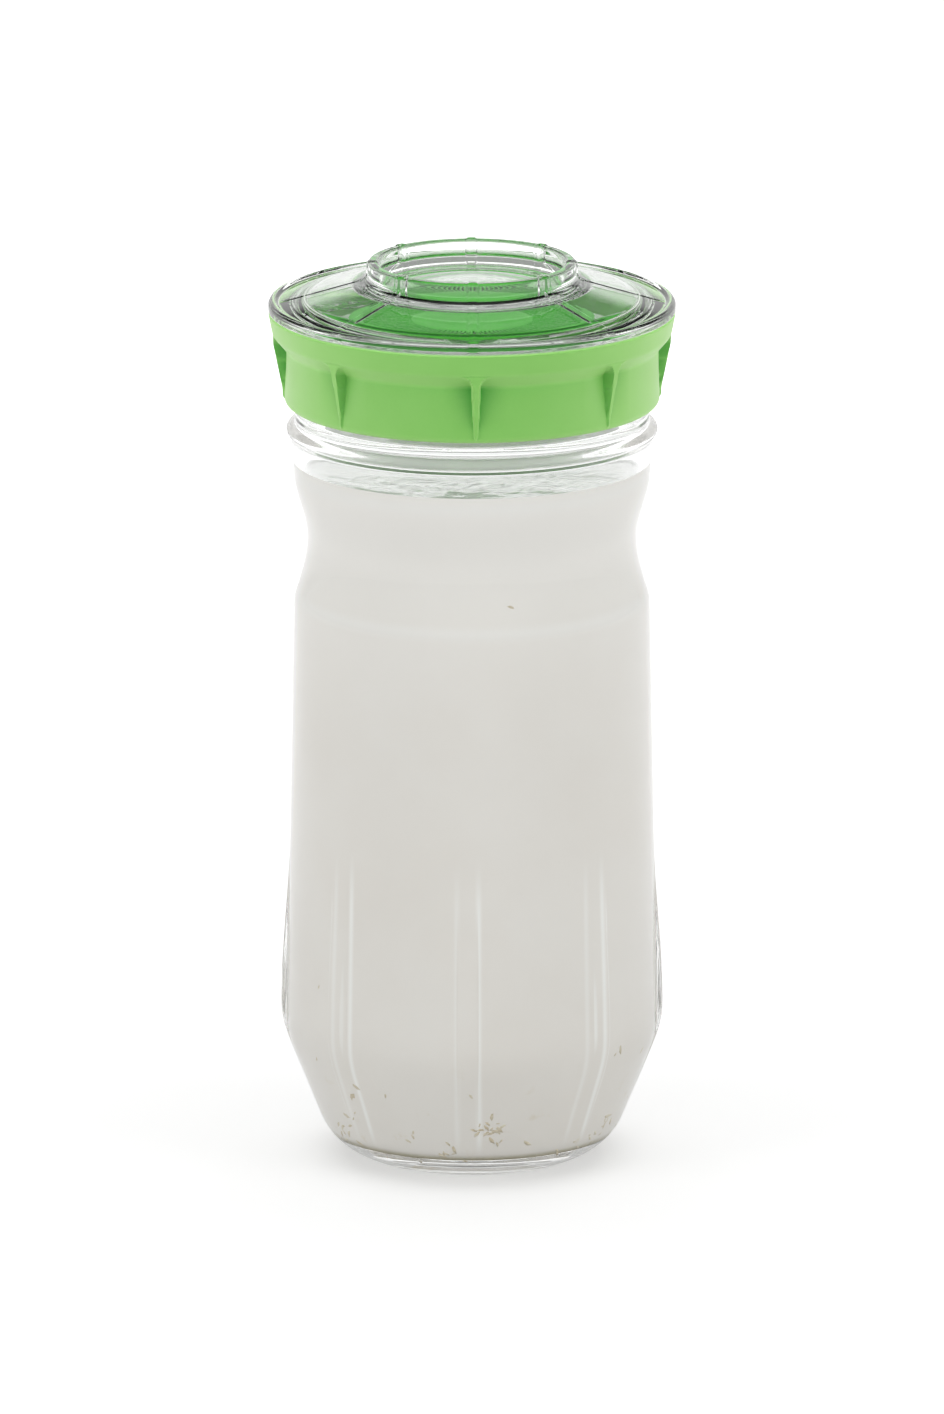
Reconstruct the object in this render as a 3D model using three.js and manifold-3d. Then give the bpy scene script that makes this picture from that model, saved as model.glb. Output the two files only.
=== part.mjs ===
// A fermenting jar: a ribbed glass jar full of kefir, a screw lid ring that holds a strainer,
// a clear screw cover with a low cup wall, and two soft seals.
// Millimetres, +Z up. The origin is the centre of the standing face, and the front rib points to -Y.
import * as THREE from 'three';
import { mergeVertices } from 'three/addons/utils/BufferGeometryUtils.js';
import Module from 'manifold-3d';

const wasm = await Module();
wasm.setup();

// Clearances
const seatGap = 0.3; // between a piece and what it rests on
const threadGap = 0.5; // radial, between a thread's crest and the root that it runs in
const fillGap = 0.35; // between the kefir and the glass

// Ribs shared by the jar, the lid ring and the cover
const ribCount = 8;

// Glass jar, with its stretches from the foot up
const glassWall = 3;
const glassBase = 5;
const footRadius = 22; // outer edge of the standing ring
const footWidth = 5; // width of the standing ring
const footHollow = 1; // depth of the hollow inside the standing ring
const heelCurve = 16;
const shoulderRadius = 44.85; // widest point between the ribs
const shoulderHeight = 30.5;
const shoulderEase = 3; // how far the rounding reaches from the corner
const ridgeRadius = 42.85;
const bodyHeight = 107.5; // from the shoulder up to the ridge
const ridgeEase = 1.6;
const waistRadius = 39.6;
const waistRise = 15; // from the ridge up to the waist
const neckRadius = 42.9;
const neckRise = 16.5; // from the waist up to the neck band
const neckBand = 6.5; // upright stretch under the bead
const beadProud = 1.4;
const beadWidth = 6;
const collarProud = 1.6; // collar between the bead and the lid ring, over the thread's root
const collarHeight = 2.6;
const mouthRadius = 41; // root of the jar's thread
const mouthHeight = 13.5; // from the bead up to the rim
const rimEase = 1;
const jarRibProud = 1.4;
const jarRibHalfWidth = 2.3;
const jarRibLength = 41.5; // above the shoulder
const jarRibFade = 10; // length over which a rib rises at its upper end
const jarRibFoot = 6; // height at which a rib dies out on the heel
const jarClock = -1.4; // degrees that the front rib stands off the front

// Kefir
const fillDrop = 24.5; // level of the kefir below the jar's rim

// Thread between the jar and the lid ring
const jarThreadLead = 10;
const jarThreadStarts = 2;
const jarThreadHeight = 1.2;
const jarThreadWidth = 2;
const jarThreadMargin = 1.4; // from the middle of a ridge to the nearer edge of its wall

// Jar seal
const jarSealThickness = 2;
const jarSealOverhang = 0.4; // how far the seal reaches past the glass on each side

// Lid ring
const ringFootLift = 4; // from the bead up to the ring's lower edge
const ringSkirtWall = 2.4; // around the jar's thread
const ringFlare = 3.8; // how far the top stands out past the panels
const ringTaper = 0.2; // how much the cone draws in for each millimetre downwards
const ringBandWall = 5; // around the cover's thread
const ringWellDepth = 8.2; // above the ledge
const ringLedge = 2; // thickness of the ledge
const ringLedgeReach = 5.5; // from the jar's thread root in to the hole in the ledge
const ringBandDepth = 5.1; // height of the plain band above the step
const ringStepDepth = 3.2; // height of the sloping step under the band
const ringFootEase = 1.9;
const ringTopEase = 0.5;
const ringRibHalfWidth = 0.8;
const ringRibFlank = 0.9; // width of a rib's sloping side
const ringClock = 1.2;

// Thread between the lid ring and the cover
const coverThreadLead = 8;
const coverThreadStarts = 2;
const coverThreadHeight = 1;
const coverThreadWidth = 1.5;
const coverThreadMargin = 1;

// Strainer
const strainerWall = 1.8;
const strainerRimThickness = 1.3;
const strainerRimLap = 3.4; // how far the rim lies on the ledge
const strainerFitGap = 0.4; // around the spigot in the ledge's hole
const strainerDrop = 2.6; // how far the trough sinks below the rim's seat
const strainerTroughWidth = 4;
const strainerRise = 6.2; // from the rim's seat up to the top of the plateau
const slotCount = 100;
const slotHub = 14.5; // radius of the plain disc inside the slots
const slotMargin = 1.5; // from the slots' outer ends to the plateau's wall
const slotInnerWidth = 0.4;
const slotOuterWidth = 0.8;

// Cover seal
const coverSealThickness = 1.7;
const coverSealInset = 0.4; // from the strainer's rim and from the crests of the thread in the well

// Cover
const coverRimThickness = 1.8;
const coverBeadRise = 0.8; // rounded bead along the rim, over the flange
const coverBeadWidth = 2.6;
const coverSkirtWall = 2.4;
const coverWall = 2.4;
const coverFlangeRise = 5.7; // from the rim's top edge up to the foot of the cup wall
const cupHeight = 4.5; // cup wall above its foot
const cupRadius = 24.9;
const cupFootSpread = 1.5; // how far the cup wall flares at its foot
const cupWall = 2.3;
const cupFloorDrop = 1.8; // floor's edge below the foot of the cup wall
const cupFloorCrown = 2; // rise of the floor towards its middle
const coverRibProud = 0.5;
const coverRibHalfWidth = 1.3;
const coverClock = 0.4;

// Fineness of the faceted solids
const stepsBetweenRibs = 4;
const plainColumns = 40;
const curveSteps = 3;
const threadStepsPerTurn = 36;
const threadFadeSteps = 3; // steps over which a ridge grows at its ends
const threadTip = 0.07; // share of its section that a ridge starts with
const mergeDistance = 1e-4;

// Levels that follow from the stack of pieces
const ridgeHeight = shoulderHeight + bodyHeight;
const waistHeight = ridgeHeight + waistRise;
const neckHeight = waistHeight + neckRise;
const beadFoot = neckHeight + neckBand;
const beadTop = beadFoot + beadWidth;
const jarHeight = beadTop + mouthHeight;
const fillHeight = jarHeight - fillDrop;
const jarSealFoot = jarHeight + seatGap;
const ledgeUnder = jarSealFoot + jarSealThickness + seatGap;
const ledgeTop = ledgeUnder + ringLedge;
const ringFoot = beadTop + ringFootLift;
const ringTop = ledgeTop + ringWellDepth;
const insertFoot = ledgeTop + seatGap;
const coverSealTop = insertFoot + coverSealThickness;
const coverSkirtFoot = coverSealTop + seatGap;
const coverRimFoot = ringTop + seatGap;
const coverRimTop = coverRimFoot + coverRimThickness;
const cupFoot = coverRimTop + coverFlangeRise;
const cupTop = cupFoot + cupHeight;

// Radii that follow from the fits
const beadRadius = neckRadius + beadProud;
const collarRadius = mouthRadius + collarProud;
const ringBore = mouthRadius + jarThreadHeight + threadGap;
const ringPanelRadius = ringBore + ringSkirtWall;
const ringTopRadius = ringPanelRadius + ringFlare;
const wellRadius = ringTopRadius - ringBandWall;
const coverSkirtRadius = wellRadius - threadGap - coverThreadHeight;
const ringLedgeRadius = mouthRadius - ringLedgeReach;
const strainerRimRadius = ringLedgeRadius + strainerRimLap;
const coverRadius = ringTopRadius;

// Each pair of threads shares the height between its two walls, half a pitch apart.
const jarThreadPitch = jarThreadLead / jarThreadStarts;
const jarThreadSpan = jarHeight - ringFoot - 2 * jarThreadMargin - jarThreadPitch / 2;
const coverThreadPitch = coverThreadLead / coverThreadStarts;
const coverThreadSpan = ringTop - coverSkirtFoot - 2 * coverThreadMargin - coverThreadPitch / 2;

const degrees = Math.PI / 180;

// A point of an outline: radius, height, and how far the ribs push it outwards and upwards.
function at(r, z, ribOut = 0, ribUp = 0) {
  return { r, z, ribOut, ribUp };
}

// Columns of a plain turned piece.
function evenColumns(count) {
  return Array.from({ length: count }, (_, index) => ({ angle: (index / count) * 2 * Math.PI, lift: 0 }));
}

// Columns of a ribbed piece: the rib's section as [angle, lift] pairs, then even steps to the next rib.
function ribbedColumns(section) {
  const sector = (2 * Math.PI) / ribCount;
  const last = section[section.length - 1][0];
  const gap = sector - last + section[0][0];
  const columns = [];
  for (let rib = 0; rib < ribCount; rib += 1) {
    section.forEach(([angle, lift]) => columns.push({ angle: rib * sector + angle, lift }));
    for (let step = 1; step < stepsBetweenRibs; step += 1) {
      columns.push({ angle: rib * sector + last + (gap * step) / stepsBetweenRibs, lift: 0 });
    }
  }
  return columns;
}

// Turns an outline round the axis. It starts and ends on the axis, or closes on itself.
function turned(outline, columns) {
  const positions = [];
  const rows = outline.map((point) => {
    const first = positions.length / 3;
    const onAxis = point.r === 0;
    const around = onAxis ? [columns[0]] : columns;
    around.forEach(({ angle, lift }) => {
      const r = point.r + point.ribOut * lift;
      positions.push(r * Math.sin(angle), -r * Math.cos(angle), point.z + point.ribUp * lift);
    });
    return (column) => (onAxis ? first : first + (column % columns.length));
  });
  const closesOnItself = outline[0].r > 0;
  const bands = closesOnItself ? rows.length : rows.length - 1;
  const index = [];
  for (let row = 0; row < bands; row += 1) {
    const low = rows[row];
    const high = rows[(row + 1) % rows.length];
    for (let column = 0; column < columns.length; column += 1) {
      const corners = [low(column), low(column + 1), high(column + 1), high(column)];
      if (corners[0] !== corners[1]) index.push(corners[0], corners[1], corners[2]);
      if (corners[2] !== corners[3]) index.push(corners[0], corners[2], corners[3]);
    }
  }
  const geometry = new THREE.BufferGeometry();
  geometry.setAttribute('position', new THREE.Float32BufferAttribute(positions, 3));
  geometry.setIndex(index);
  return geometry;
}

// Points of a path as an outline. The rib rule gives how far the ribs push out at each height.
function outlineOf(path, steps, ribOutAt = () => 0) {
  return path.getPoints(steps).map((point) => at(point.x, point.y, ribOutAt(point.y)));
}

// Rounds a corner of a path: a line up to the corner, then a curve on towards the next point.
function roundCorner(path, corner, next, ease) {
  const from = path.currentPoint.clone();
  const before = corner.clone().add(from.sub(corner).setLength(ease));
  const after = corner.clone().add(next.clone().sub(corner).setLength(ease));
  path.lineTo(before.x, before.y);
  path.quadraticCurveTo(corner.x, corner.y, after.x, after.y);
}

// The angle at which a line from a circle to an outside point leaves the circle on its lower side.
function tangentAngle(centre, radius, point) {
  const reach = point.clone().sub(centre);
  return reach.angle() - Math.acos(radius / reach.length());
}

function closedSolid(geometry) {
  geometry.deleteAttribute('normal');
  geometry.deleteAttribute('uv');
  const merged = mergeVertices(geometry, mergeDistance);
  return new wasm.Manifold(
    new wasm.Mesh({
      numProp: 3,
      vertProperties: new Float32Array(merged.attributes.position.array),
      triVerts: new Uint32Array(merged.index.array),
    }),
  );
}

function geometryOf(solid) {
  const { vertProperties, triVerts } = solid.getMesh();
  const geometry = new THREE.BufferGeometry();
  geometry.setAttribute('position', new THREE.Float32BufferAttribute(vertProperties, 3));
  geometry.setIndex(Array.from(triVerts));
  return geometry;
}

// One ridge of a thread, rising to the right-hand rule over its span, thinned out at its two ends.
// It is rooted in the wall at the root radius and stands towards the crest radius.
function threadRidge({ root, crest, width, lead, span, foot, start }) {
  const side = Math.sign(crest - root);
  const rooted = root - side * threadGap;
  const reach = span / lead;
  const steps = Math.ceil(threadStepsPerTurn * reach);
  const positions = [];
  const index = [];
  for (let step = 0; step <= steps; step += 1) {
    const turn = (reach * step) / steps;
    const angle = start + turn * 2 * Math.PI;
    const fromEnd = Math.min(step, steps - step) / threadFadeSteps;
    const height = Math.min(1, threadTip + fromEnd);
    const tip = root + (crest - root) * height;
    const middle = foot + lead * turn;
    const section = [
      [rooted, middle - (width * height) / 2],
      [tip, middle - (width * height) / 4],
      [tip, middle + (width * height) / 4],
      [rooted, middle + (width * height) / 2],
    ];
    section.forEach(([r, z]) => positions.push(r * Math.sin(angle), -r * Math.cos(angle), z));
  }
  const quad = (a, b, c, d) => (side > 0 ? index.push(a, b, c, a, c, d) : index.push(a, c, b, a, d, c));
  for (let step = 0; step < steps; step += 1) {
    for (let edge = 0; edge < 4; edge += 1) {
      const here = step * 4 + edge;
      const next = step * 4 + ((edge + 1) % 4);
      quad(here, here + 4, next + 4, next);
    }
  }
  const end = steps * 4;
  quad(0, 1, 2, 3);
  quad(end + 3, end + 2, end + 1, end);
  const geometry = new THREE.BufferGeometry();
  geometry.setAttribute('position', new THREE.Float32BufferAttribute(positions, 3));
  geometry.setIndex(index);
  return geometry;
}

// Joins every start of a thread to the wall that carries it.
function threaded(geometry, starts, ridge) {
  let solid = closedSolid(geometry);
  for (let start = 0; start < starts; start += 1) {
    const turnedBy = (start / starts) * 2 * Math.PI;
    solid = solid.add(closedSolid(threadRidge({ ...ridge, start: turnedBy })));
  }
  return geometryOf(solid);
}

// Foot, heel and taper of the jar, up to its shoulder, drawn inwards by an inset.
function drawHeel(path, heel, inset) {
  const centre = new THREE.Vector2(footRadius, heelCurve);
  const shoulder = new THREE.Vector2(shoulderRadius - inset, shoulderHeight + inset / 2);
  path.absarc(centre.x, centre.y, heel, -Math.PI / 2, tangentAngle(centre, heel, shoulder), false);
  roundCorner(path, shoulder, new THREE.Vector2(ridgeRadius - inset, ridgeHeight), shoulderEase);
}

// Ridge, waist and neck band of the jar, drawn inwards by an inset.
function drawWaist(path, inset) {
  const ridge = new THREE.Vector2(ridgeRadius - inset, ridgeHeight);
  const waist = new THREE.Vector2(waistRadius - inset, waistHeight);
  const neck = new THREE.Vector2(neckRadius - inset, neckHeight);
  const flare = (waist.y - ridge.y) / 3;
  const swell = (neck.y - waist.y) / 3;
  const bend = new THREE.Vector2(ridge.x - (ridge.x - waist.x) / 2, ridge.y + flare);
  roundCorner(path, ridge, bend, ridgeEase);
  path.bezierCurveTo(bend.x, bend.y, waist.x, waist.y - flare, waist.x, waist.y);
  path.bezierCurveTo(waist.x, waist.y + swell, neck.x, neck.y - swell, neck.x, neck.y);
}

function jarRibOut(z) {
  const rising = (shoulderHeight + jarRibLength - z) / jarRibFade;
  const dying = (z - jarRibFoot) / (shoulderHeight - jarRibFoot);
  return jarRibProud * THREE.MathUtils.clamp(Math.min(rising, dying), 0, 1);
}

function jarOutside() {
  const path = new THREE.Path();
  path.moveTo(0, footHollow);
  path.lineTo(footRadius - footWidth, 0);
  path.lineTo(footRadius, 0);
  drawHeel(path, heelCurve, 0);
  const slope = (ridgeRadius - shoulderRadius) / (ridgeHeight - shoulderHeight);
  [jarRibLength - jarRibFade, jarRibLength].forEach((rise) => {
    path.lineTo(shoulderRadius + slope * rise, shoulderHeight + rise);
  });
  drawWaist(path, 0);
  path.lineTo(neckRadius, beadFoot);
  path.quadraticCurveTo(beadRadius, beadFoot, beadRadius, beadFoot + beadWidth / 2);
  path.quadraticCurveTo(beadRadius, beadTop, collarRadius, beadTop);
  path.lineTo(collarRadius, beadTop + collarHeight);
  path.lineTo(mouthRadius, beadTop + collarHeight + collarProud);
  roundCorner(
    path,
    new THREE.Vector2(mouthRadius, jarHeight),
    new THREE.Vector2(mouthRadius - glassWall, jarHeight),
    rimEase,
  );
  return outlineOf(path, curveSteps, jarRibOut);
}

// Inside of the jar from the middle of its floor to the foot of its mouth.
function jarInside(inset, floor) {
  const path = new THREE.Path();
  path.moveTo(0, floor);
  path.lineTo(footRadius, floor);
  drawHeel(path, heelCurve - floor, inset);
  drawWaist(path, inset);
  path.lineTo(neckRadius - inset, beadFoot);
  path.lineTo(mouthRadius - inset, beadTop);
  return outlineOf(path, curveSteps - 1);
}

function glassJar() {
  const rim = [at(mouthRadius - glassWall, jarHeight - rimEase)];
  const outline = [...jarOutside(), ...rim, ...jarInside(glassWall, glassBase).reverse()];
  const halfAngle = jarRibHalfWidth / shoulderRadius;
  const columns = ribbedColumns([
    [-halfAngle, 0],
    [0, 1],
    [halfAngle, 0],
  ]);
  return threaded(turned(outline, columns), jarThreadStarts, {
    root: mouthRadius,
    crest: mouthRadius + jarThreadHeight,
    width: jarThreadWidth,
    lead: jarThreadLead,
    span: jarThreadSpan,
    foot: jarHeight - jarThreadMargin - jarThreadSpan,
  });
}

// The kefir follows the inside of the glass up to its own level.
function kefirFill() {
  const inside = jarInside(glassWall + fillGap, glassBase + fillGap);
  const above = inside.findIndex((point) => point.z > fillHeight);
  const low = inside[above - 1];
  const high = inside[above];
  const share = (fillHeight - low.z) / (high.z - low.z);
  const edge = at(low.r + (high.r - low.r) * share, fillHeight);
  return turned([...inside.slice(0, above), edge, at(0, fillHeight)], evenColumns(plainColumns));
}

function flatRing(inner, outer, foot, top) {
  const outline = [at(inner, foot), at(outer, foot), at(outer, top), at(inner, top)];
  return turned(outline, evenColumns(plainColumns));
}

function jarSeal() {
  const inner = mouthRadius - glassWall - jarSealOverhang;
  return flatRing(inner, mouthRadius + jarSealOverhang, jarSealFoot, jarSealFoot + jarSealThickness);
}

function coneRadius(z) {
  return ringTopRadius - ringTaper * (ringTop - z);
}

function lidRing() {
  const bandFoot = ringTop - ringBandDepth;
  const panelTop = bandFoot - ringStepDepth;
  const panelFoot = Math.max(ringFoot + ringFootEase, ringTop - ringFlare / ringTaper);
  const ribOut = (z) => (z > panelTop ? 0 : Math.max(0, coneRadius(z) - ringPanelRadius));
  const path = new THREE.Path();
  path.moveTo(ringBore, ringFoot);
  roundCorner(
    path,
    new THREE.Vector2(ringPanelRadius, ringFoot),
    new THREE.Vector2(ringPanelRadius, panelFoot),
    ringFootEase,
  );
  path.lineTo(ringPanelRadius, panelFoot);
  path.lineTo(ringPanelRadius, panelTop);
  path.lineTo(coneRadius(bandFoot), bandFoot);
  const topEdge = new THREE.Vector2(ringTopRadius, ringTop);
  roundCorner(path, topEdge, new THREE.Vector2(wellRadius, ringTop), ringTopEase);
  path.lineTo(wellRadius, ringTop);
  path.lineTo(wellRadius, ledgeTop);
  path.lineTo(ringLedgeRadius, ledgeTop);
  path.lineTo(ringLedgeRadius, ledgeUnder);
  path.lineTo(ringBore, ledgeUnder);
  const crest = ringRibHalfWidth / ringPanelRadius;
  const flank = (ringRibHalfWidth + ringRibFlank) / ringPanelRadius;
  const columns = ribbedColumns([
    [-flank, 0],
    [-crest, 1],
    [crest, 1],
    [flank, 0],
  ]);
  const shell = threaded(turned(outlineOf(path, curveSteps, ribOut), columns), jarThreadStarts, {
    root: ringBore,
    crest: mouthRadius + threadGap,
    width: jarThreadWidth,
    lead: jarThreadLead,
    span: jarThreadSpan,
    foot: ringFoot + jarThreadMargin,
  });
  return threaded(shell, coverThreadStarts, {
    root: wellRadius,
    crest: coverSkirtRadius + threadGap,
    width: coverThreadWidth,
    lead: coverThreadLead,
    span: coverThreadSpan,
    foot: ringTop - coverThreadMargin - coverThreadSpan,
  });
}

// One radial slot, wider at its outer end, as an upright prism through the plateau.
function slotCutter(angle, outer, foot, height) {
  const shape = new THREE.Shape();
  shape.moveTo(slotHub, -slotInnerWidth / 2);
  shape.lineTo(outer, -slotOuterWidth / 2);
  shape.lineTo(outer, slotOuterWidth / 2);
  shape.lineTo(slotHub, slotInnerWidth / 2);
  const geometry = new THREE.ExtrudeGeometry(shape, { depth: height, bevelEnabled: false });
  geometry.rotateZ(angle);
  geometry.translate(0, 0, foot);
  return closedSolid(geometry);
}

// A hat-shaped insert: a rim on the ledge, a trough that drops through its hole, and a slotted plateau.
function strainer() {
  const spigot = ringLedgeRadius - strainerFitGap;
  const troughFloor = insertFoot - strainerDrop;
  const troughOuter = spigot - strainerWall;
  const troughInner = troughOuter - strainerTroughWidth;
  const hatInner = troughInner - strainerWall;
  const plateauTop = insertFoot + strainerRise;
  const outline = [
    at(0, plateauTop),
    at(troughInner, plateauTop),
    at(troughInner, troughFloor + strainerWall),
    at(troughOuter, troughFloor + strainerWall),
    at(troughOuter, insertFoot + strainerRimThickness),
    at(strainerRimRadius, insertFoot + strainerRimThickness),
    at(strainerRimRadius, insertFoot),
    at(spigot, insertFoot),
    at(spigot, troughFloor),
    at(hatInner, troughFloor),
    at(hatInner, plateauTop - strainerWall),
    at(0, plateauTop - strainerWall),
  ].reverse();
  let solid = closedSolid(turned(outline, evenColumns(plainColumns)));
  for (let slot = 0; slot < slotCount; slot += 1) {
    const angle = (slot / slotCount) * 2 * Math.PI;
    const cutter = slotCutter(angle, hatInner - slotMargin, plateauTop - 2 * strainerWall, 3 * strainerWall);
    solid = solid.subtract(cutter);
  }
  return geometryOf(solid);
}

function coverSeal() {
  return flatRing(
    strainerRimRadius + coverSealInset,
    coverSkirtRadius + threadGap - coverSealInset,
    insertFoot,
    coverSealTop,
  );
}

// Flange, cup wall and floor in one moulding, with the threaded skirt under the flange.
function cover() {
  const cupFootRadius = cupRadius + cupFootSpread;
  const flangeAt = (r) => coverRimTop + (coverFlangeRise * (coverRadius - r)) / (coverRadius - cupFootRadius);
  const skirtInner = coverSkirtRadius - coverSkirtWall;
  const floorRadius = cupRadius - cupWall;
  const floorEdge = cupFoot - cupFloorDrop;
  const floorTop = floorEdge + cupFloorCrown;
  const underFlange = (r) => Math.max(flangeAt(r) - coverWall, coverRimFoot);
  const rimBeadTop = coverRimTop + coverBeadRise;
  const rimBeadInner = coverRadius - coverBeadWidth;
  const outline = [
    at(0, floorTop - coverWall),
    at(floorRadius, floorEdge - coverWall),
    at(cupFootRadius, underFlange(cupFootRadius)),
    at(skirtInner, underFlange(skirtInner)),
    at(skirtInner, coverSkirtFoot),
    at(coverSkirtRadius, coverSkirtFoot),
    at(coverSkirtRadius, coverRimFoot),
    at(coverRadius, coverRimFoot),
    at(coverRadius, coverRimTop),
    at(coverRadius - coverBeadRise, rimBeadTop),
    at(rimBeadInner + coverBeadRise, rimBeadTop),
    at(rimBeadInner, flangeAt(rimBeadInner), 0, coverRibProud),
    at(cupFootRadius, cupFoot, 0, coverRibProud),
    at(cupRadius, cupFoot + cupFootSpread, coverRibProud),
    at(cupRadius, cupTop - coverRibProud, coverRibProud),
    at(cupRadius - coverRibProud, cupTop),
    at(floorRadius + coverRibProud, cupTop),
    at(floorRadius, cupTop - coverRibProud),
    at(floorRadius, floorEdge),
    at(floorRadius / 2, floorEdge + 0.75 * cupFloorCrown),
    at(0, floorTop),
  ];
  const halfAngle = coverRibHalfWidth / cupRadius;
  const columns = ribbedColumns([
    [-halfAngle, 0],
    [-halfAngle / 2, 1],
    [halfAngle / 2, 1],
    [halfAngle, 0],
  ]);
  return threaded(turned(outline, columns), coverThreadStarts, {
    root: coverSkirtRadius,
    crest: coverSkirtRadius + coverThreadHeight,
    width: coverThreadWidth,
    lead: coverThreadLead,
    span: coverThreadSpan,
    foot: coverSkirtFoot + coverThreadMargin,
  });
}

// Finishes
const clearGlass = new THREE.MeshStandardMaterial({
  color: 0xeef4f1,
  roughness: 0.04,
  metalness: 0,
  transparent: true,
  opacity: 0.3,
});
const clearPlastic = new THREE.MeshStandardMaterial({
  color: 0xf2f6f4,
  roughness: 0.05,
  metalness: 0,
  transparent: true,
  opacity: 0.35,
});
const greenPlastic = new THREE.MeshStandardMaterial({ color: 0x74c855, roughness: 0.4, metalness: 0 });
const paleSilicone = new THREE.MeshStandardMaterial({ color: 0xe9ece6, roughness: 0.55, metalness: 0 });
const milkyKefir = new THREE.MeshStandardMaterial({ color: 0xdbd9d3, roughness: 0.35, metalness: 0 });

function piece(name, geometry, material) {
  const mesh = new THREE.Mesh(geometry, material);
  mesh.name = name;
  return mesh;
}

const jarGroup = new THREE.Group();
jarGroup.rotation.z = jarClock * degrees;
jarGroup.add(piece('glass_jar', glassJar(), clearGlass));
jarGroup.add(piece('kefir_fill', kefirFill(), milkyKefir));
jarGroup.add(piece('jar_seal', jarSeal(), paleSilicone));

const lidGroup = new THREE.Group();
lidGroup.rotation.z = ringClock * degrees;
lidGroup.add(piece('lid_ring', lidRing(), greenPlastic));
lidGroup.add(piece('strainer', strainer(), greenPlastic));

const coverGroup = new THREE.Group();
coverGroup.rotation.z = coverClock * degrees;
coverGroup.add(piece('cover_seal', coverSeal(), paleSilicone));
coverGroup.add(piece('cover', cover(), clearPlastic));

const kefirJar = new THREE.Group();
kefirJar.add(jarGroup, lidGroup, coverGroup);

export default kefirJar;
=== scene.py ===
import math

import bpy
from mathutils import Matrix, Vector


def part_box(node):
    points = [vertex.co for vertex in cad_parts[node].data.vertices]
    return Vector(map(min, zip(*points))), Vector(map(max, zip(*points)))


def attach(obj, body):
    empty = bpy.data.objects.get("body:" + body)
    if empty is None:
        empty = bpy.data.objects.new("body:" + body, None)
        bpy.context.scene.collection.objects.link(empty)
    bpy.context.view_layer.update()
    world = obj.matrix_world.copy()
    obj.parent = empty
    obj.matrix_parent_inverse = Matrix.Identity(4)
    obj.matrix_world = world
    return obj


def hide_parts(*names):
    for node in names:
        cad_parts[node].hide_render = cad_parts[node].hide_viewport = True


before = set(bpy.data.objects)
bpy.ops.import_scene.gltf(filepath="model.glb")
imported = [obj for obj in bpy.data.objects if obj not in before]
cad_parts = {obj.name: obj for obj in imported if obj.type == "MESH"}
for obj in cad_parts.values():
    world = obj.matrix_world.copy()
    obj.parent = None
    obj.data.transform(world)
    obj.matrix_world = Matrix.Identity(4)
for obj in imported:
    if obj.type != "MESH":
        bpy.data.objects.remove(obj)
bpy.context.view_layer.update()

mm = 0.001
fullTurn = 2 * math.pi
nearest = 1e-4  # points closer than this, in millimetres, are one


def footOf(node):  # lowest level of a solid, in millimetres
    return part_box(node)[0].z / mm


def topOf(node):
    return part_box(node)[1].z / mm


def clamped(share):
    return max(0, min(1, share))


def eased(share):
    share = clamped(share)
    return share * share * (3 - 2 * share)


# Outlines are lists of [radius, height] in millimetres, drawn anticlockwise
def lineTo(outline, r, z, steps=1):
    fromR, fromZ = outline[-1]
    for step in range(1, steps + 1):
        share = step / steps
        outline.append([fromR + (r - fromR) * share, fromZ + (z - fromZ) * share])


def arcTo(outline, centre, radius, first, last, steps):
    for step in range(steps + 1):
        angle = first + (last - first) * step / steps
        outline.append([centre[0] + radius * math.cos(angle), centre[1] + radius * math.sin(angle)])


def curveTo(outline, handleA, handleB, end, steps):
    start = outline[-1]
    for step in range(1, steps + 1):
        t = step / steps
        s = 1 - t
        weights = (s ** 3, 3 * s * s * t, 3 * s * t * t, t ** 3)
        corners = (start, handleA, handleB, end)
        outline.append([sum(w * c[i] for w, c in zip(weights, corners)) for i in (0, 1)])


def roundTo(outline, corner, after, ease, steps):  # a line to a corner, rounded towards the next point
    corner = Vector(corner)
    before = corner + (Vector(outline[-1]) - corner).normalized() * ease
    beyond = corner + (Vector(after) - corner).normalized() * ease
    lineTo(outline, *before)
    curveTo(outline, before.lerp(corner, 2 / 3), beyond.lerp(corner, 2 / 3), beyond, steps)


def roundThrough(outline, corners, end):  # past each (corner, ease, steps) in turn, then towards the end
    afters = [corner for corner, ease, steps in corners[1:]] + [end]
    for (corner, ease, steps), after in zip(corners, afters):
        roundTo(outline, corner, after, ease, steps)


def refined(outline, longest):  # breaks long stretches into rows and drops doubled points
    fine = [list(outline[0])]
    for r, z in outline[1:]:
        length = math.dist(fine[-1], (r, z))
        if length > nearest:
            lineTo(fine, r, z, math.ceil(length / longest))
    return fine


# Columns of a turned piece: close together within reach of each rib, wider between
def ribColumns(ribs, across, plainSteps=10):
    sector = fullTurn / ribs["count"]
    half = ribs["reach"]
    angles = []
    for rib in range(ribs["count"]):
        middle = rib * sector + ribs["clock"]
        angles += [middle + offset for offset in across(half, ribs["reachSteps"])[:-1]]
        angles += [middle + half + (sector - 2 * half) * step / plainSteps for step in range(plainSteps)]
    return angles


def evenAcross(half, steps):
    return [half * (2 * step / steps - 1) for step in range(steps + 1)]


def crowdedAcross(half, steps):  # closest together at the two edges
    return [half * math.sin(math.pi * (step / steps - 0.5)) for step in range(steps + 1)]


def evenColumns(count):
    return [fullTurn * step / count for step in range(count)]


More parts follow.
